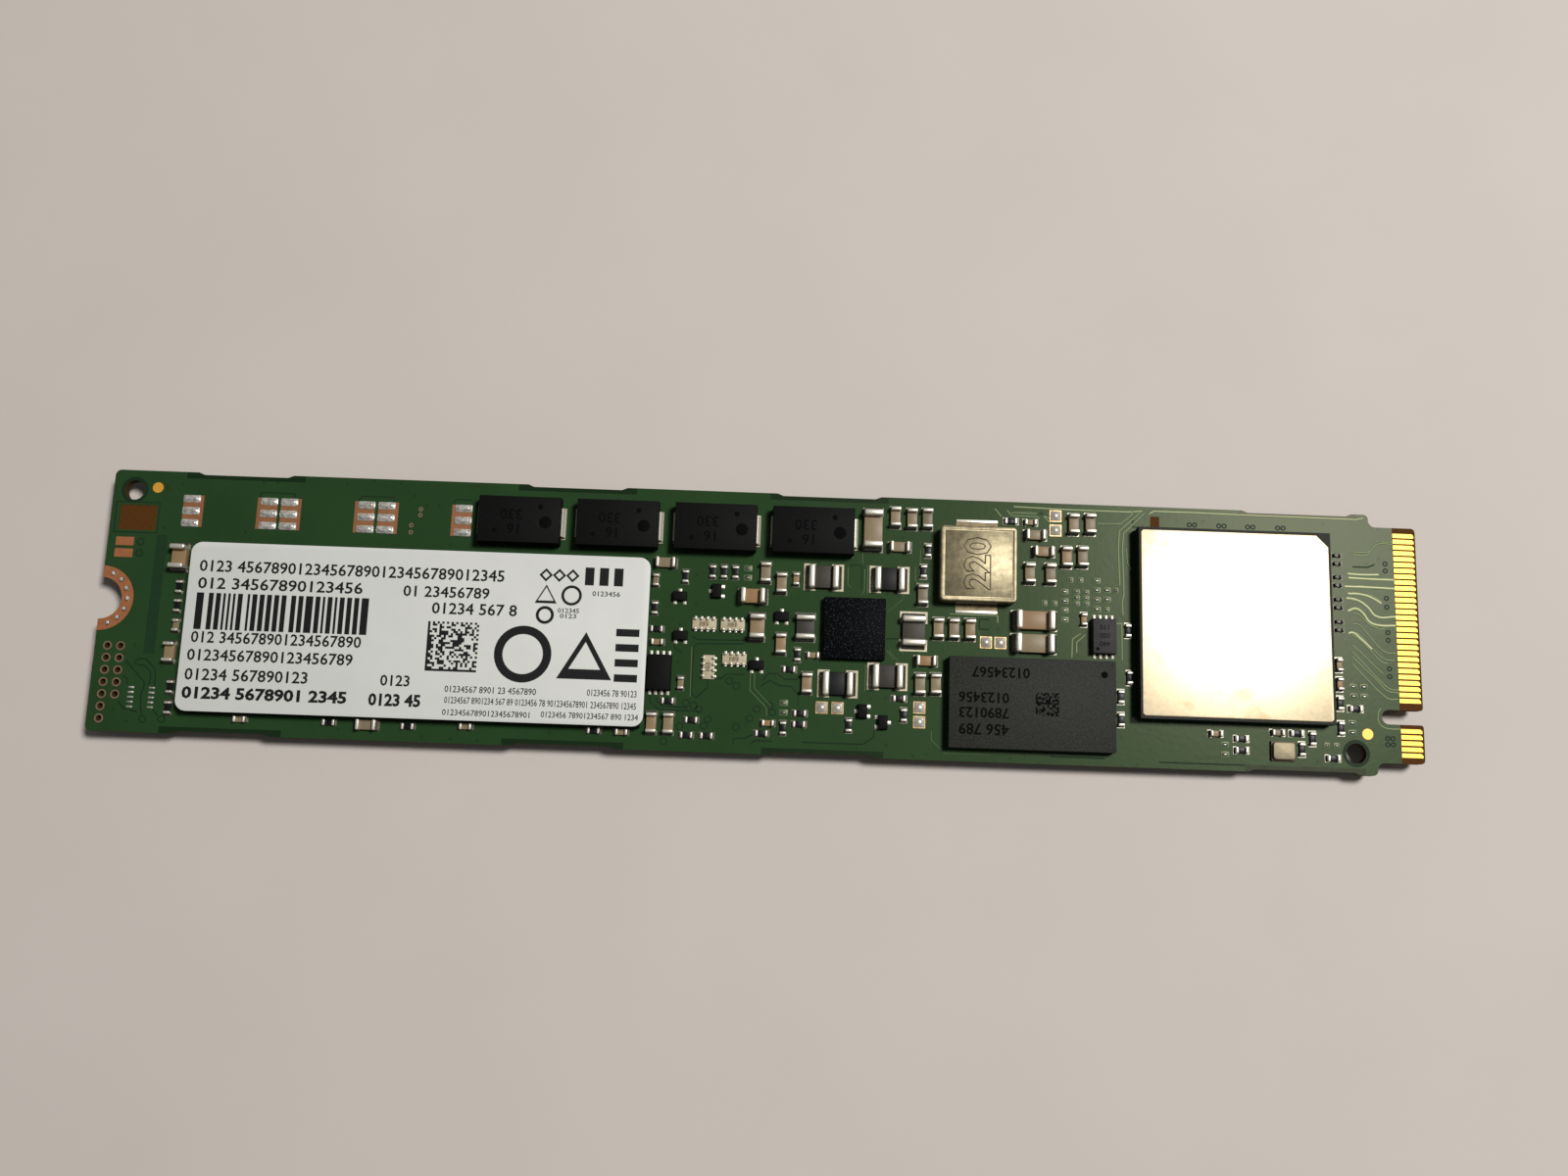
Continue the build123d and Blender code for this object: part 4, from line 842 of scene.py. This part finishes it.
def makeLandMetal():
    # copper on the empty places, tinned over where a capacitor is soldered down
    material, tree, surface, place = newMaterial("holdupLand", {"Metallic": 0.4, "Roughness": 0.45})
    axes = addNode(tree, "ShaderNodeSeparateXYZ", links={"Vector": place}).outputs
    noise = addNode(tree, "ShaderNodeTexNoise", {"Scale": 1 / (0.5 * mm), "Detail": 2.0}, {"Vector": place})
    copper = addNode(tree, "ShaderNodeMix", {6: srgb("A06E49"), 7: srgb("8B5B3B")}, {"Factor": noise.outputs["Fac"]}, data_type="RGBA")
    tinned = addNode(tree, "ShaderNodeMix", {6: srgb("B5A98C"), 7: srgb("8E8268")}, {"Factor": noise.outputs["Fac"]}, data_type="RGBA")
    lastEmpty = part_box("holdup_land_solder")[1].x + 0.15 * mm
    filled = addNode(tree, "ShaderNodeMath", {1: lastEmpty}, {0: axes["X"]}, operation="GREATER_THAN")
    colour = addNode(tree, "ShaderNodeMix", links={"Factor": filled.outputs[0], 6: copper.outputs[2], 7: tinned.outputs[2]},
                     data_type="RGBA")
    tree.links.new(colour.outputs[2], surface.inputs["Base Color"])
    return material


paintNode("holdup_capacitor_lands", makeLandMetal())
print("hold-up capacitors made")


# A pillow of solder: it holds to its pad's outline, where its edges are creased, and its middle stands highest.
def modelPillow(size, dome):
    pillow = addBox("pillow", (size.x, size.y, 0.3 * dome), (0, 0, 0.15 * dome))
    pickFaces(pillow, lambda middle, normal: normal.z > 0.9)
    for rise in (0.5 * dome, 0.25 * dome):
        bpy.ops.mesh.inset(thickness=0.2 * min(size.x, size.y))
        bpy.ops.transform.translate(value=(0, 0, rise))
    pickEdges(pillow, lambda middle, along: middle.z < 0.35 * dome and max(abs(middle.x) / size.x, abs(middle.y) / size.y) > 0.49)
    bpy.ops.transform.edge_crease(value=0.8)
    bpy.ops.object.mode_set(mode="OBJECT")
    return applyModifier(pillow, "SUBSURF", levels=2, render_levels=2)


def placePillows(solids, pieceName, dome, material, replaced=(), spill=1.0):
    pillows = []
    random.seed(pieceName)
    for centre, size in solids:
        foot = Vector((centre.x, centre.y, centre.z - size.z / 2))
        master = modelPillow(Vector((size.x * spill, size.y * spill, size.z)), dome * random.uniform(0.85, 1.15))
        pillows.append(copyTo(master, foot))
        removeMaster(master)
    finishPiece(joinPieces(pieceName, pillows), material, replaced, 60)


placePillows(solidsOf("holdup_land_solder"), "landSolder", 0.26 * mm, reflowedSolder, ["holdup_land_solder"], 1.04)
placePillows(solidsOf("jumper_solder"), "jumperSolder", 0.28 * mm, tinPlate, ["jumper_solder"], 1.06)
# the pads at the left end are bright; the others are dull, each in a raised lip of mask
barePads = solidsOf("bare_solder_pads")
brightPads = [pad for pad in barePads if pad[0].x < leftEnd + 10 * mm]
dullPads = [pad for pad in barePads if pad not in brightPads]
placePillows(brightPads, "contactSolder", 0.14 * mm, reflowedSolder, ["bare_solder_pads"], 1.1)
placePillows(dullPads, "padSolder", 0.12 * mm, dullSolder)
lips = [softenEdges(addBox("padLip", (size.x + 0.16 * mm, size.y + 0.16 * mm, 0.04 * mm), (centre.x, centre.y, boardTop + 0.01 * mm)),
                    0.015 * mm) for centre, size in dullPads]
finishPiece(joinPieces("padLips", lips), traceMaskWithSheen)
paintNode("jumper_pads", wettedCopper)
paintNode("chip_inductor_lands", tinnedLand)
paintNode("copper_test_pads", bareCopper)
paintNode("screw_ring_top", bareCopper)
paintNode("screw_ring_under", bareCopper)

# Solder dots round the screw ring
ringSettings = {"radius": 2.25 * mm, "step": 22.5, "dot": 0.23 * mm, "dome": 0.12 * mm}
bpy.ops.mesh.primitive_uv_sphere_add(segments=16, ring_count=8, radius=ringSettings["dot"])
dot = bpy.context.object
dot.scale = (1, 1, ringSettings["dome"] / ringSettings["dot"])
applyScale(dot)
bpy.ops.object.mode_set(mode="EDIT")
bpy.ops.mesh.select_all(action="SELECT")
bpy.ops.mesh.bisect(plane_co=(0, 0, 0), plane_no=(0, 0, -1), clear_outer=True, use_fill=True)
bpy.ops.object.mode_set(mode="OBJECT")
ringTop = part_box("screw_ring_top")[1].z
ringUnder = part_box("screw_ring_under")[0].z
dots = []
for step in range(-3, 4):
    angle = math.radians(step * ringSettings["step"])
    x = leftEnd + ringSettings["radius"] * math.cos(angle)
    y = ringSettings["radius"] * math.sin(angle)
    dots.append(copyTo(dot, Vector((x, y, ringTop))))
    dots.append(copyTo(dot, Vector((x, y, ringUnder)), over=True))
removeMaster(dot)
finishPiece(joinPieces("ringSolderDots", dots), reflowedSolder, (), 60)
print("pads and solder made")


# Gold, eyelets of the test holes, rims of the tooling holes and rings of vias

for node in ("connector_fingers_top", "connector_fingers_under"):
    paintNode(node, hardGold)
paintNode("fiducials", softGold)

eyeletSettings = {"outer": 0.37 * mm, "inner": 0.25 * mm, "first": -3.95 * mm, "pitch": 1.0 * mm,
                  "columns": ((1.05 * mm, 7), (2.13 * mm, 5)), "thickness": 0.05 * mm}
eyelets = []
for across, count in eyeletSettings["columns"]:
    for row in range(count):
        spot = (leftEnd + across, eyeletSettings["first"] - row * eyeletSettings["pitch"], boardTop + 0.01 * mm)
        eyelets.append(addRing("eyelet", eyeletSettings["outer"], eyeletSettings["inner"], eyeletSettings["thickness"], spot))
finishPiece(joinPieces("testHoleEyelets", eyelets), tarnishedCopper)

# rings round the two tooling holes, where the mask stops short
toolingSettings = {"holes": ((leftEnd + 1.77 * mm, 9.3 * mm), (tip - 5.74 * mm, -9.22 * mm)), "outer": 1.12 * mm, "inner": 0.87 * mm}
rims = [addRing("toolingRim", toolingSettings["outer"], toolingSettings["inner"], 0.012 * mm, (x, y, boardTop + 0.004 * mm), 40)
        for x, y in toolingSettings["holes"]]
finishPiece(joinPieces("toolingHoleRims", rims), maskOverGap)

viaSettings = {
    "outer": 0.22 * mm, "inner": 0.11 * mm, "height": 0.02 * mm,
    "openSpots": ((-29.1, 8.5), (-29.1, 8.0), (-29.8, 7.1), (-29.8, 6.5)), "openOuter": 0.19 * mm, "openInner": 0.09 * mm,
    "wideSpots": ((-52.25, 4.85), (-52.25, 3.9), (-50.4, -9.9), (-48.85, -9.85), (-6.05, -7.0), (-5.4, -7.2), (-4.95, -7.5),
                  (-0.2, -7.3), (-0.75, -8.1), (-1.85, -8.85), (-4.2, -8.3), (-6.5, -8.95), (-7.75, -10.2), (-4.5, -8.85),
                  (0.85, -7.0), (1.1, -7.55), (-2.55, -5.05), (-1.95, -5.45)),
    "wideOuter": 0.32 * mm, "wideInner": 0.23 * mm,
}
viaSpots = [(tip - 2.7 * mm, y * mm) for y in (6.8, 6.2, 3.85, 3.1, 0.95, 0.3, -2.1, -2.75)]
viaSpots += [(tip + x * mm, y * mm) for x in (-3.1, -2.65) for y in (-7.9, -8.4)]
viaSpots += [(tip + x * mm, 9.57 * mm) for x in (-19.2, -18.75, -16.7, -16.25, -14.25, -13.8, -11.7, -11.25)]
vias = [addRing("via", viaSettings["outer"], viaSettings["inner"], viaSettings["height"], (x, y, boardTop + 0.006 * mm), 16)
        for x, y in viaSpots]
vias += [addRing("wideVia", viaSettings["wideOuter"], viaSettings["wideInner"], 0.014 * mm, (x * mm, y * mm, boardTop + 0.004 * mm), 20)
         for x, y in viaSettings["wideSpots"]]
finishPiece(joinPieces("viaRings", vias), maskOverGap)
openVias = [addRing("openVia", viaSettings["openOuter"], viaSettings["openInner"], viaSettings["height"],
                    (x * mm, y * mm, boardTop + 0.006 * mm), 16) for x, y in viaSettings["openSpots"]]
finishPiece(joinPieces("openViaRings", openVias), tarnishedCopper)


# Traces and gaps under the mask. Each is a line of points on the board in millimetres, drawn as a flattened round bead.
traceSettings = {"width": 0.16, "innerWidth": 0.13, "height": 0.022, "ridgeWidth": 0.28, "ridgeHeight": 0.03, "gapWidth": 0.12, "gapHeight": 0.012}
traceLines = [
    [(52.0, 8.7), (53.0, 8.7)],
    [(49.55, 7.75), (50.7, 7.75), (50.95, 7.8), (51.75, 8.5), (53.0, 8.5)],
    [(49.55, 7.5), (50.75, 7.5), (51.1, 7.8)],
    [(49.5, 5.85), (50.6, 5.8), (51.65, 5.85), (51.85, 5.7)],
    [(49.5, 5.45), (50.25, 5.55), (51.0, 5.45), (53.0, 5.45)],
    [(49.45, 4.8), (50.45, 4.85), (50.95, 4.7), (53.0, 4.7)],
    [(49.45, 4.3), (50.35, 4.15), (51.2, 4.0), (51.85, 3.55)],
    [(49.4, 3.55), (49.9, 3.55), (50.4, 3.35), (50.9, 2.95), (51.1, 2.5), (51.5, 2.3), (53.0, 2.35)],
    [(49.4, 2.8), (49.85, 2.75), (50.45, 2.2), (50.9, 1.75), (51.4, 1.6), (53.0, 1.55)],
    [(49.4, 2.5), (49.9, 2.4), (50.65, 1.7), (51.25, 1.35), (51.75, 1.2), (52.05, 1.3)],
    [(49.35, 1.6), (49.85, 1.55), (50.65, 0.7), (51.35, -0.15), (52.1, -0.75), (52.9, -0.75)],
    [(49.3, 0.9), (49.7, 0.8), (50.9, -0.4), (51.95, -1.3), (52.75, -1.4)],
    [(49.3, 0.65), (49.75, 0.4), (50.75, -0.55), (51.8, -1.6), (52.15, -1.65)],
    [(49.3, -0.2), (50.0, -0.85), (50.95, -1.8), (51.75, -2.55)],
    [(49.25, -0.8), (49.9, -1.45), (51.55, -3.2), (52.3, -3.8), (53.0, -3.85)],
    [(49.25, -1.2), (51.4, -3.3), (52.05, -3.95), (53.0, -4.1)],
    [(49.2, -1.75), (50.45, -3.1), (51.6, -4.25), (52.25, -4.65), (52.9, -4.6)],
    [(51.45, -5.4), (51.25, -5.75), (51.25, -6.65), (51.65, -7.0), (52.1, -7.1), (53.0, -7.1)],
    [(20.7, 10.05), (23.15, 10.05), (23.75, 9.75), (24.25, 9.6)],
    [(28.0, 9.4), (30.0, 9.45), (30.9, 10.25), (31.0, 10.55)],
    [(31.6, 10.45), (29.85, 8.85), (29.75, 7.4), (29.85, 4.15)],
    [(32.0, 10.45), (30.2, 8.65), (30.1, 7.35), (30.2, 3.4), (30.05, 2.75), (30.1, 1.6)],
    [(30.45, 7.3), (30.5, 6.0), (30.85, 5.5)],
    [(26.55, -0.05), (25.85, -0.55), (25.8, -2.1)],
    [(26.95, -0.15), (26.2, -0.8), (26.2, -1.7)],
    [(29.2, 0.9), (30.0, 0.9), (30.0, -2.2)],
    [(19.3, 10.35), (19.65, 9.95), (19.85, 9.7)],
    [(20.35, 10.25), (20.6, 9.9), (20.8, 9.8), (22.85, 9.8), (23.1, 9.65)],
    [(20.9, 10.1), (22.8, 10.1), (23.3, 10.0), (24.05, 9.25)],
    [(14.2, -8.6), (14.2, -9.35), (15.3, -10.4), (19.0, -10.4)],
    [(7.0, 4.9), (7.0, 3.4), (7.3, 3.1)],
    [(8.4, 4.75), (8.4, 2.9), (8.2, 2.5)],
    [(8.65, 5.1), (8.65, 2.65)],
    [(13.05, 6.6), (13.05, 4.55)],
    [(13.35, 6.6), (13.35, 5.9)],
    [(12.65, 5.1), (12.65, 4.1), (12.8, 3.65)],
    [(14.1, 5.85), (14.1, 5.3), (14.25, 5.1)],
    [(11.75, 2.75), (11.55, 2.2), (10.35, 1.15)],
    [(10.35, -2.05), (11.0, -2.85)],
    [(10.55, -2.05), (11.3, -2.9)],
    [(11.25, -1.3), (11.3, -1.7), (11.75, -2.3)],
    [(17.9, -0.15), (18.2, -0.75)],
    [(8.65, -3.35), (8.65, -5.5)],
    [(-0.85, -4.3), (-0.85, -5.8), (0.6, -7.2), (0.6, -7.9)],
    [(-0.5, -4.3), (-0.5, -5.6), (0.9, -7.0)],
    [(-5.8, -2.35), (-5.75, -6.45)],
    [(19.6, 0.6), (19.6, 1.2), (15.6, 1.2)],
    [(7.4, 5.6), (7.4, 6.4), (8.2, 6.4), (8.2, 5.2)],
]
# broader ones, where the light catches the mask; their lighter colour is a painted highlight
ridgeLines = [
    [(49.1, 5.85), (50.25, 5.8), (51.7, 5.85)],
    [(49.15, 5.5), (51.15, 5.45), (53.0, 5.45)],
    [(48.8, 4.75), (50.45, 4.75), (53.0, 4.7)],
    [(49.05, 4.15), (50.3, 4.1), (51.2, 3.8), (51.85, 3.4)],
    [(48.9, 3.75), (49.75, 3.65), (50.7, 3.05), (51.35, 2.3), (53.0, 2.3)],
    [(49.0, 2.65), (49.7, 2.9), (50.3, 2.5), (50.8, 1.8), (51.45, 1.55), (52.95, 1.55)],
    [(49.0, 0.75), (49.3, 0.85), (50.0, 0.35), (50.9, -0.5)],
]
# along the board's edge, narrower, in the same painted highlight
rimLines = [
    [(20.9, 10.6), (25.75, 10.5), (30.6, 10.5), (31.8, 10.6)],
    [(32.4, 10.4), (32.8, 10.65), (36.25, 10.65), (40.1, 10.6), (50.0, 10.55), (50.6, 10.7)],
]
gapLines = [
    [(-54.6, 8.25), (-51.0, 8.25), (-51.0, 5.65), (-54.6, 5.65), (-54.6, 8.25)],
    [(-42.7, 9.05), (-42.6, 9.45), (-39.8, 9.45), (-39.7, 9.05)],
    [(-34.4, 9.05), (-34.1, 9.45), (-31.4, 9.45), (-31.4, 9.05)],
    [(-26.4, 9.05), (-26.2, 9.45), (-24.9, 9.45)],
    [(-52.3, -5.15), (-51.35, -6.1), (-50.55, -6.95), (-50.6, -7.45), (-50.75, -7.95), (-50.65, -9.05), (-50.5, -9.5)],
    [(-51.55, -5.45), (-51.45, -5.05), (-51.1, -4.95), (-50.6, -5.0), (-49.9, -5.7), (-49.75, -6.0), (-49.7, -7.15)],
    [(-51.35, -5.45), (-50.7, -5.5), (-50.15, -6.05), (-50.1, -6.55), (-50.2, -7.1)],
    [(-52.55, -8.45), (-52.05, -9.1), (-51.45, -9.2), (-50.9, -9.35)],
    [(-49.65, -9.1), (-49.15, -9.6)],
    [(-52.35, -6.4), (-52.0, -6.65), (-51.95, -7.1)],
    [(-1.5, -1.95), (-5.3, -2.05), (-5.6, -2.35), (-5.6, -6.2), (-5.3, -6.5), (-5.0, -6.35), (-4.3, -5.65), (-4.3, -5.05)],
    [(-5.75, -1.45), (-5.35, -1.7), (-1.5, -1.65)],
    [(-3.85, -4.9), (-3.2, -4.9), (-2.8, -4.5), (-1.35, -4.5)],
    [(-9.05, -6.35), (-8.95, -7.05), (-8.35, -7.55), (-7.45, -7.65), (-4.85, -7.65)],
    [(-8.5, -6.3), (-8.45, -6.95), (-8.05, -7.3), (-5.9, -7.4)],
    [(-7.3, -2.1), (-7.05, -2.6), (-6.5, -2.9)],
    [(0.2, -4.9), (0.7, -4.3), (1.4, -4.3), (2.0, -4.75), (3.1, -4.75)],
    [(0.1, -5.4), (0.8, -4.9), (1.6, -5.3), (2.6, -5.35), (3.2, -6.0), (3.2, -6.9)],
    [(-2.05, -10.3), (-2.0, -9.8), (-1.15, -9.75), (-0.4, -9.4)],
    [(-0.6, -10.2), (-0.3, -9.9), (1.2, -9.9)],
    [(3.6, -9.9), (8.6, -9.9), (9.5, -9.3), (9.5, -8.7)],
    [(7.2, 4.9), (7.35, 5.05), (8.05, 5.05), (8.2, 4.75), (8.2, 3.0)],
    [(10.3, -1.1), (11.35, -1.05)],
    [(23.2, 10.2), (24.0, 9.4)],
    [(18.9, 0.85), (18.2, 0.85), (18.1, 0.75), (18.1, 0.05), (18.25, 0.0), (18.9, 0.0)],
    [(49.55, 6.45), (50.8, 6.45), (51.4, 6.7)],
    [(24.0, -10.35), (28.5, -10.35)],
    [(33.0, -10.5), (40.0, -10.5)],
    [(31.0, 9.8), (31.0, 9.2), (31.9, 9.2)],
]


def drawLines(name, lines, width, height, material, rounded=True):
    beads = []
    for line in lines:
        bpy.ops.curve.primitive_bezier_curve_add(location=(0, 0, 0))
        bead = bpy.context.object
        spline = bead.data.splines[0]
        spline.bezier_points.add(len(line) - 2)
        for point, (x, y) in zip(spline.bezier_points, line):
            point.co = (x * mm, y * mm, 0)
            point.handle_left_type = point.handle_right_type = "AUTO" if rounded else "VECTOR"
        spline.resolution_u = 5
        bead.data.bevel_depth = width * mm / 2
        bead.data.bevel_resolution = 1
        bead.data.use_fill_caps = True
        bpy.ops.object.convert(target="MESH")
        bead = bpy.context.object
        bead.scale = (1, 1, 2 * height / width)
        bead.location = (0, 0, boardTop)
        bpy.ops.object.transform_apply(location=True, rotation=False, scale=True)
        beads.append(bead)
    finishPiece(joinPieces(name, beads), material, (), 60)


rightEnd = [line for line in traceLines if line[0][0] > 45]
along = [line for line in traceLines if 19 < line[0][0] < 45]
inner = [line for line in traceLines if line[0][0] < 19]
drawLines("maskedTracesRightEnd", rightEnd, traceSettings["width"], traceSettings["height"], traceMaskWithSheen)
drawLines("maskedTracesAlong", along, traceSettings["width"], traceSettings["height"], traceMaskWithSheen, False)
drawLines("maskedTracesInner", inner, traceSettings["innerWidth"], traceSettings["height"], quietTrace, False)
drawLines("maskedRidges", ridgeLines, traceSettings["ridgeWidth"], traceSettings["ridgeHeight"], traceMaskPaintedHighlight)
drawLines("maskedRims", rimLines, traceSettings["width"], traceSettings["height"], traceMaskPaintedHighlight, False)
drawLines("maskedGaps", gapLines, traceSettings["gapWidth"], traceSettings["gapHeight"], maskOverGap, False)
# the darker strip beside the label, where the copper stops
strip = addBox("darkStrip", (0.9 * mm, 10.0 * mm, 0.012 * mm), (-50.5 * mm, 0.5 * mm, boardTop + 0.002 * mm))
finishPiece(softenEdges(strip, 0.004 * mm, 1), thinMask)
paintNode("circuit_board", solderMask)
print("board details made")


# Crystal: a metal can on a dark ceramic base

finishPiece(modelMould("crystalCeramicBase", solidsOf("crystal_base"), 0.05 * mm, 1.0), crystalCeramic,
            ["crystal_base"])
(canCentre, canSize), = solidsOf("crystal_can")
can = addBox("crystalCanLid", canSize, canCentre)
pickEdges(can, lambda middle, along: abs(along.z) > 0.5 * canSize.z)
bpy.ops.mesh.bevel(offset=0.25 * mm, segments=4, affect="EDGES")
bpy.ops.object.mode_set(mode="OBJECT")
softenEdges(can, 0.06 * mm, 3)
finishPiece(can, crystalCan, ["crystal_can"])
print("crystal made")


# Places are in millimetres from the label's left top corner, right and down. Its print is generic: blank
# characters, seeded codes and plain shapes.
labelSettings = {
    "ink": 0.012, "edge": 0.03,
    "rows": (
        # left, right, middle, height, weight of the strokes, digits in each group
        (0.85, 26.0, 2.05, 1.0, 1, (4, 32)), (0.85, 14.4, 3.5, 0.98, 1, (3, 14)), (17.75, 24.85, 3.55, 0.95, 1, (2, 8)),
        (20.2, 27.2, 4.9, 0.98, 1, (5, 3, 1)), (0.75, 14.65, 7.98, 0.98, 1, (3, 18)), (0.6, 14.1, 9.45, 0.98, 1, (20,)),
        (0.6, 10.6, 11.05, 1.0, 1, (5, 9)), (0.5, 13.9, 12.55, 1.05, 2, (5, 7, 4)), (16.5, 18.9, 11.0, 0.92, 1, (4,)),
        (15.65, 19.9, 12.6, 1.05, 2, (4, 2)), (21.75, 29.2, 11.5, 0.55, 0, (8, 4, 2, 7)), (33.35, 37.4, 11.4, 0.55, 0, (7, 2, 5)),
        (21.8, 37.4, 12.4, 0.55, 0, (8, 7, 3, 2, 7, 2, 13, 9, 5)), (21.75, 28.85, 13.4, 0.5, 0, (22,)),
        (29.7, 37.6, 13.3, 0.5, 0, (7, 11, 3, 4)), (33.3, 35.6, 3.2, 0.42, 0, (7,)), (30.55, 32.3, 4.7, 0.4, 0, (6,)),
        (30.75, 32.1, 5.15, 0.38, 0, (4,)),
    ),
    "bars": (0.85, 15.0, 4.25, 7.3), "code": (20.0, 24.2, 5.95, 10.05),
}
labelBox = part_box("label")
labelTop = labelBox[1].z


def onLabel(right, down):
    return Vector((labelBox[0].x + right * mm, labelBox[1].y - down * mm, labelTop))


def printGrid(name, left, right, top, bottom, columns, rows, dropped):
    # a sheet of cells with some deleted, given the thickness of the ink
    bpy.ops.mesh.primitive_grid_add(x_subdivisions=columns, y_subdivisions=rows, size=1,
                                    location=onLabel((left + right) / 2, (top + bottom) / 2))
    sheet = bpy.context.object
    sheet.name = name
    sheet.scale = ((right - left) * mm, (bottom - top) * mm, 1)
    applyScale(sheet)
    wide, tall = (right - left) * mm, (bottom - top) * mm
    pickFaces(sheet, lambda middle, normal: dropped(int((middle.x / wide + 0.5) * columns), int((0.5 - middle.y / tall) * rows)))
    bpy.ops.mesh.delete(type="FACE")
    bpy.ops.object.mode_set(mode="OBJECT")
    return applyModifier(sheet, "SOLIDIFY", thickness=labelSettings["ink"] * mm, offset=0)


def printNumbers(left, right, middle, height, weight, words):
    # counting digits in groups, stretched to the length of the row
    digits = "".join(str(place % 10) for place in range(sum(words)))
    groups, used = [], 0
    for count in words:
        groups.append(digits[used:used + count])
        used += count
    row = addMark(" ".join(groups), height * mm, onLabel((left + right) / 2, middle), 0.0, labelSettings["ink"] * mm,
                  (0.006, 0.022, 0.055)[weight] * mm)
    row.scale = ((right - left) * mm / row.dimensions.x, height * mm / row.dimensions.y, 1)
    return applyScale(row)


random.seed("label print")
prints = [printNumbers(*row) for row in labelSettings["rows"]]
left, right, top, bottom = labelSettings["bars"]
barWidths = [random.choice((1, 2, 2, 3) if bar % 2 == 0 else (1, 1, 1, 2)) for bar in range(47)]
barColumns = sum(barWidths)
dark = [bar % 2 == 0 for bar, width in enumerate(barWidths) for cell in range(width)]
prints.append(printGrid("barCode", left, right, top, bottom, barColumns, 1, lambda x, y: not dark[min(x, barColumns - 1)]))
left, right, top, bottom = labelSettings["code"]
codeCells = {(x, y) for x in range(22) for y in range(22)
             if x == 0 or y == 21 or (y == 0 and x % 2 == 0) or (x == 21 and y % 2 == 1)
             or (0 < x < 21 and 0 < y < 21 and random.random() < 0.5)}
prints.append(printGrid("squareCode", left, right, top, bottom, 22, 22, lambda x, y: (x, y) not in codeCells))
# plain shapes: large ones at the right, small ones above them
ink = labelSettings["ink"] * mm
prints.append(addRing("largeRing", 2.35 * mm, 1.65 * mm, ink, onLabel(27.9, 8.4), 40))
prints.append(addRing("largeTriangle", 2.6 * mm, 1.5 * mm, ink, onLabel(33.0, 9.0), 3))
for down in (6.35, 7.6, 8.85, 10.1):
    prints.append(addBox("largeBar", (1.9 * mm, 0.62 * mm, ink), onLabel(36.4, down)))
prints.append(addRing("smallRing", 0.85 * mm, 0.62 * mm, ink, onLabel(31.6, 3.4), 24))
prints.append(addRing("smallTriangle", 1.05 * mm, 0.75 * mm, ink, onLabel(29.5, 3.6), 3))
prints.append(addRing("countRing", 0.75 * mm, 0.5 * mm, ink, onLabel(29.5, 5.1), 24))
for x, wide in ((29.0, 0.7), (30.1, 0.7), (31.2, 0.7)):
    prints.append(addRing("smallSquare", wide * 0.8 * mm, wide * 0.45 * mm, ink, onLabel(x + 0.4, 1.75), 4))
for x in (33.0, 34.2, 35.4):
    prints.append(addBox("smallBar", (0.75 * mm, 1.5 * mm, ink), onLabel(x, 1.75)))
finishPiece(joinPieces("labelPrint", prints), labelInk, (), 30)

# the sheet: rounded corners, a softened edge
(sheetCentre, sheetSize), = solidsOf("label")
sheet = addBox("labelSheet", sheetSize, sheetCentre)
pickEdges(sheet, lambda middle, along: abs(along.z) > 0.5 * sheetSize.z)
bpy.ops.mesh.bevel(offset=0.9 * mm, segments=8, affect="EDGES")
bpy.ops.object.mode_set(mode="OBJECT")
softenEdges(sheet, labelSettings["edge"] * mm, 2)
finishPiece(sheet, labelStock, ["label"], 30)
print("label made")


# Painted table top: pale warm grey, matt, with faint mottling
def makeTablePaint():
    material, tree, surface, place = newMaterial("paleTablePaint", {"Roughness": 0.75, "Specular IOR Level": 0.2})
    mottle = addNode(tree, "ShaderNodeTexNoise", {"Scale": 1 / (18 * mm), "Detail": 5.0}, {"Vector": place})
    paint = addNode(tree, "ShaderNodeMix", {6: srgb("C6BEB8"), 7: srgb("BFB7B0")}, {"Factor": mottle.outputs["Fac"]}, data_type="RGBA")
    tree.links.new(paint.outputs[2], surface.inputs["Base Color"])
    return material


bpy.ops.mesh.primitive_grid_add(x_subdivisions=8, y_subdivisions=8, size=0.9, location=(0, 0, 0))
table = bpy.context.object
table.name = "tableTop"
table.data.materials.append(makeTablePaint())

lampSettings = {
    # name: place in mm, aimed at in mm, size in mm, power in W
    "ceilingPanel": ((279, 154, 600), (0, 0, 0), 150, 4.9),
}
for name, (place, aim, size, power) in lampSettings.items():
    bpy.ops.object.light_add(type="AREA", location=[value * mm for value in place])
    lamp = bpy.context.object
    lamp.name = name
    lamp.data.shape = "SQUARE"
    lamp.data.size = size * mm
    lamp.data.energy = power
    lamp.data.color = (1.0, 0.985, 0.96)
    lamp.rotation_euler = (Vector(aim) - Vector(place)).to_track_quat("-Z", "Y").to_euler()

world = bpy.data.worlds.new("plainRoom")
bpy.context.scene.world = world
world.use_nodes = True
world.node_tree.nodes["Background"].inputs["Color"].default_value = srgb("F4F3F1")
world.node_tree.nodes["Background"].inputs["Strength"].default_value = 0.11

# The photograph's own viewpoint, solved from the board's outline: a lens of 31.5 mm on a 36 mm sensor, tipped 10 degrees.
cameraSettings = {"place": (1.046, -17.222, 113.008), "turn": (2.9651, 0.052618, 0.013131), "lens": 31.5}
bpy.ops.object.camera_add()
camera = bpy.context.object
camera.data.lens = cameraSettings["lens"]
camera.data.sensor_width = 36
camera.data.clip_start = 0.005
turn = Vector(cameraSettings["turn"])
worldToCamera = Quaternion(turn.normalized(), turn.length).to_matrix()
facing = worldToCamera.transposed() @ Matrix.Diagonal((1, -1, -1))
camera.matrix_world = Matrix.Translation(Vector(cameraSettings["place"]) * mm + Vector((0, 0, boardTop))) @ facing.to_4x4()
bpy.context.scene.camera = camera
bpy.context.scene.view_settings.view_transform = "Standard"
print("stage made")
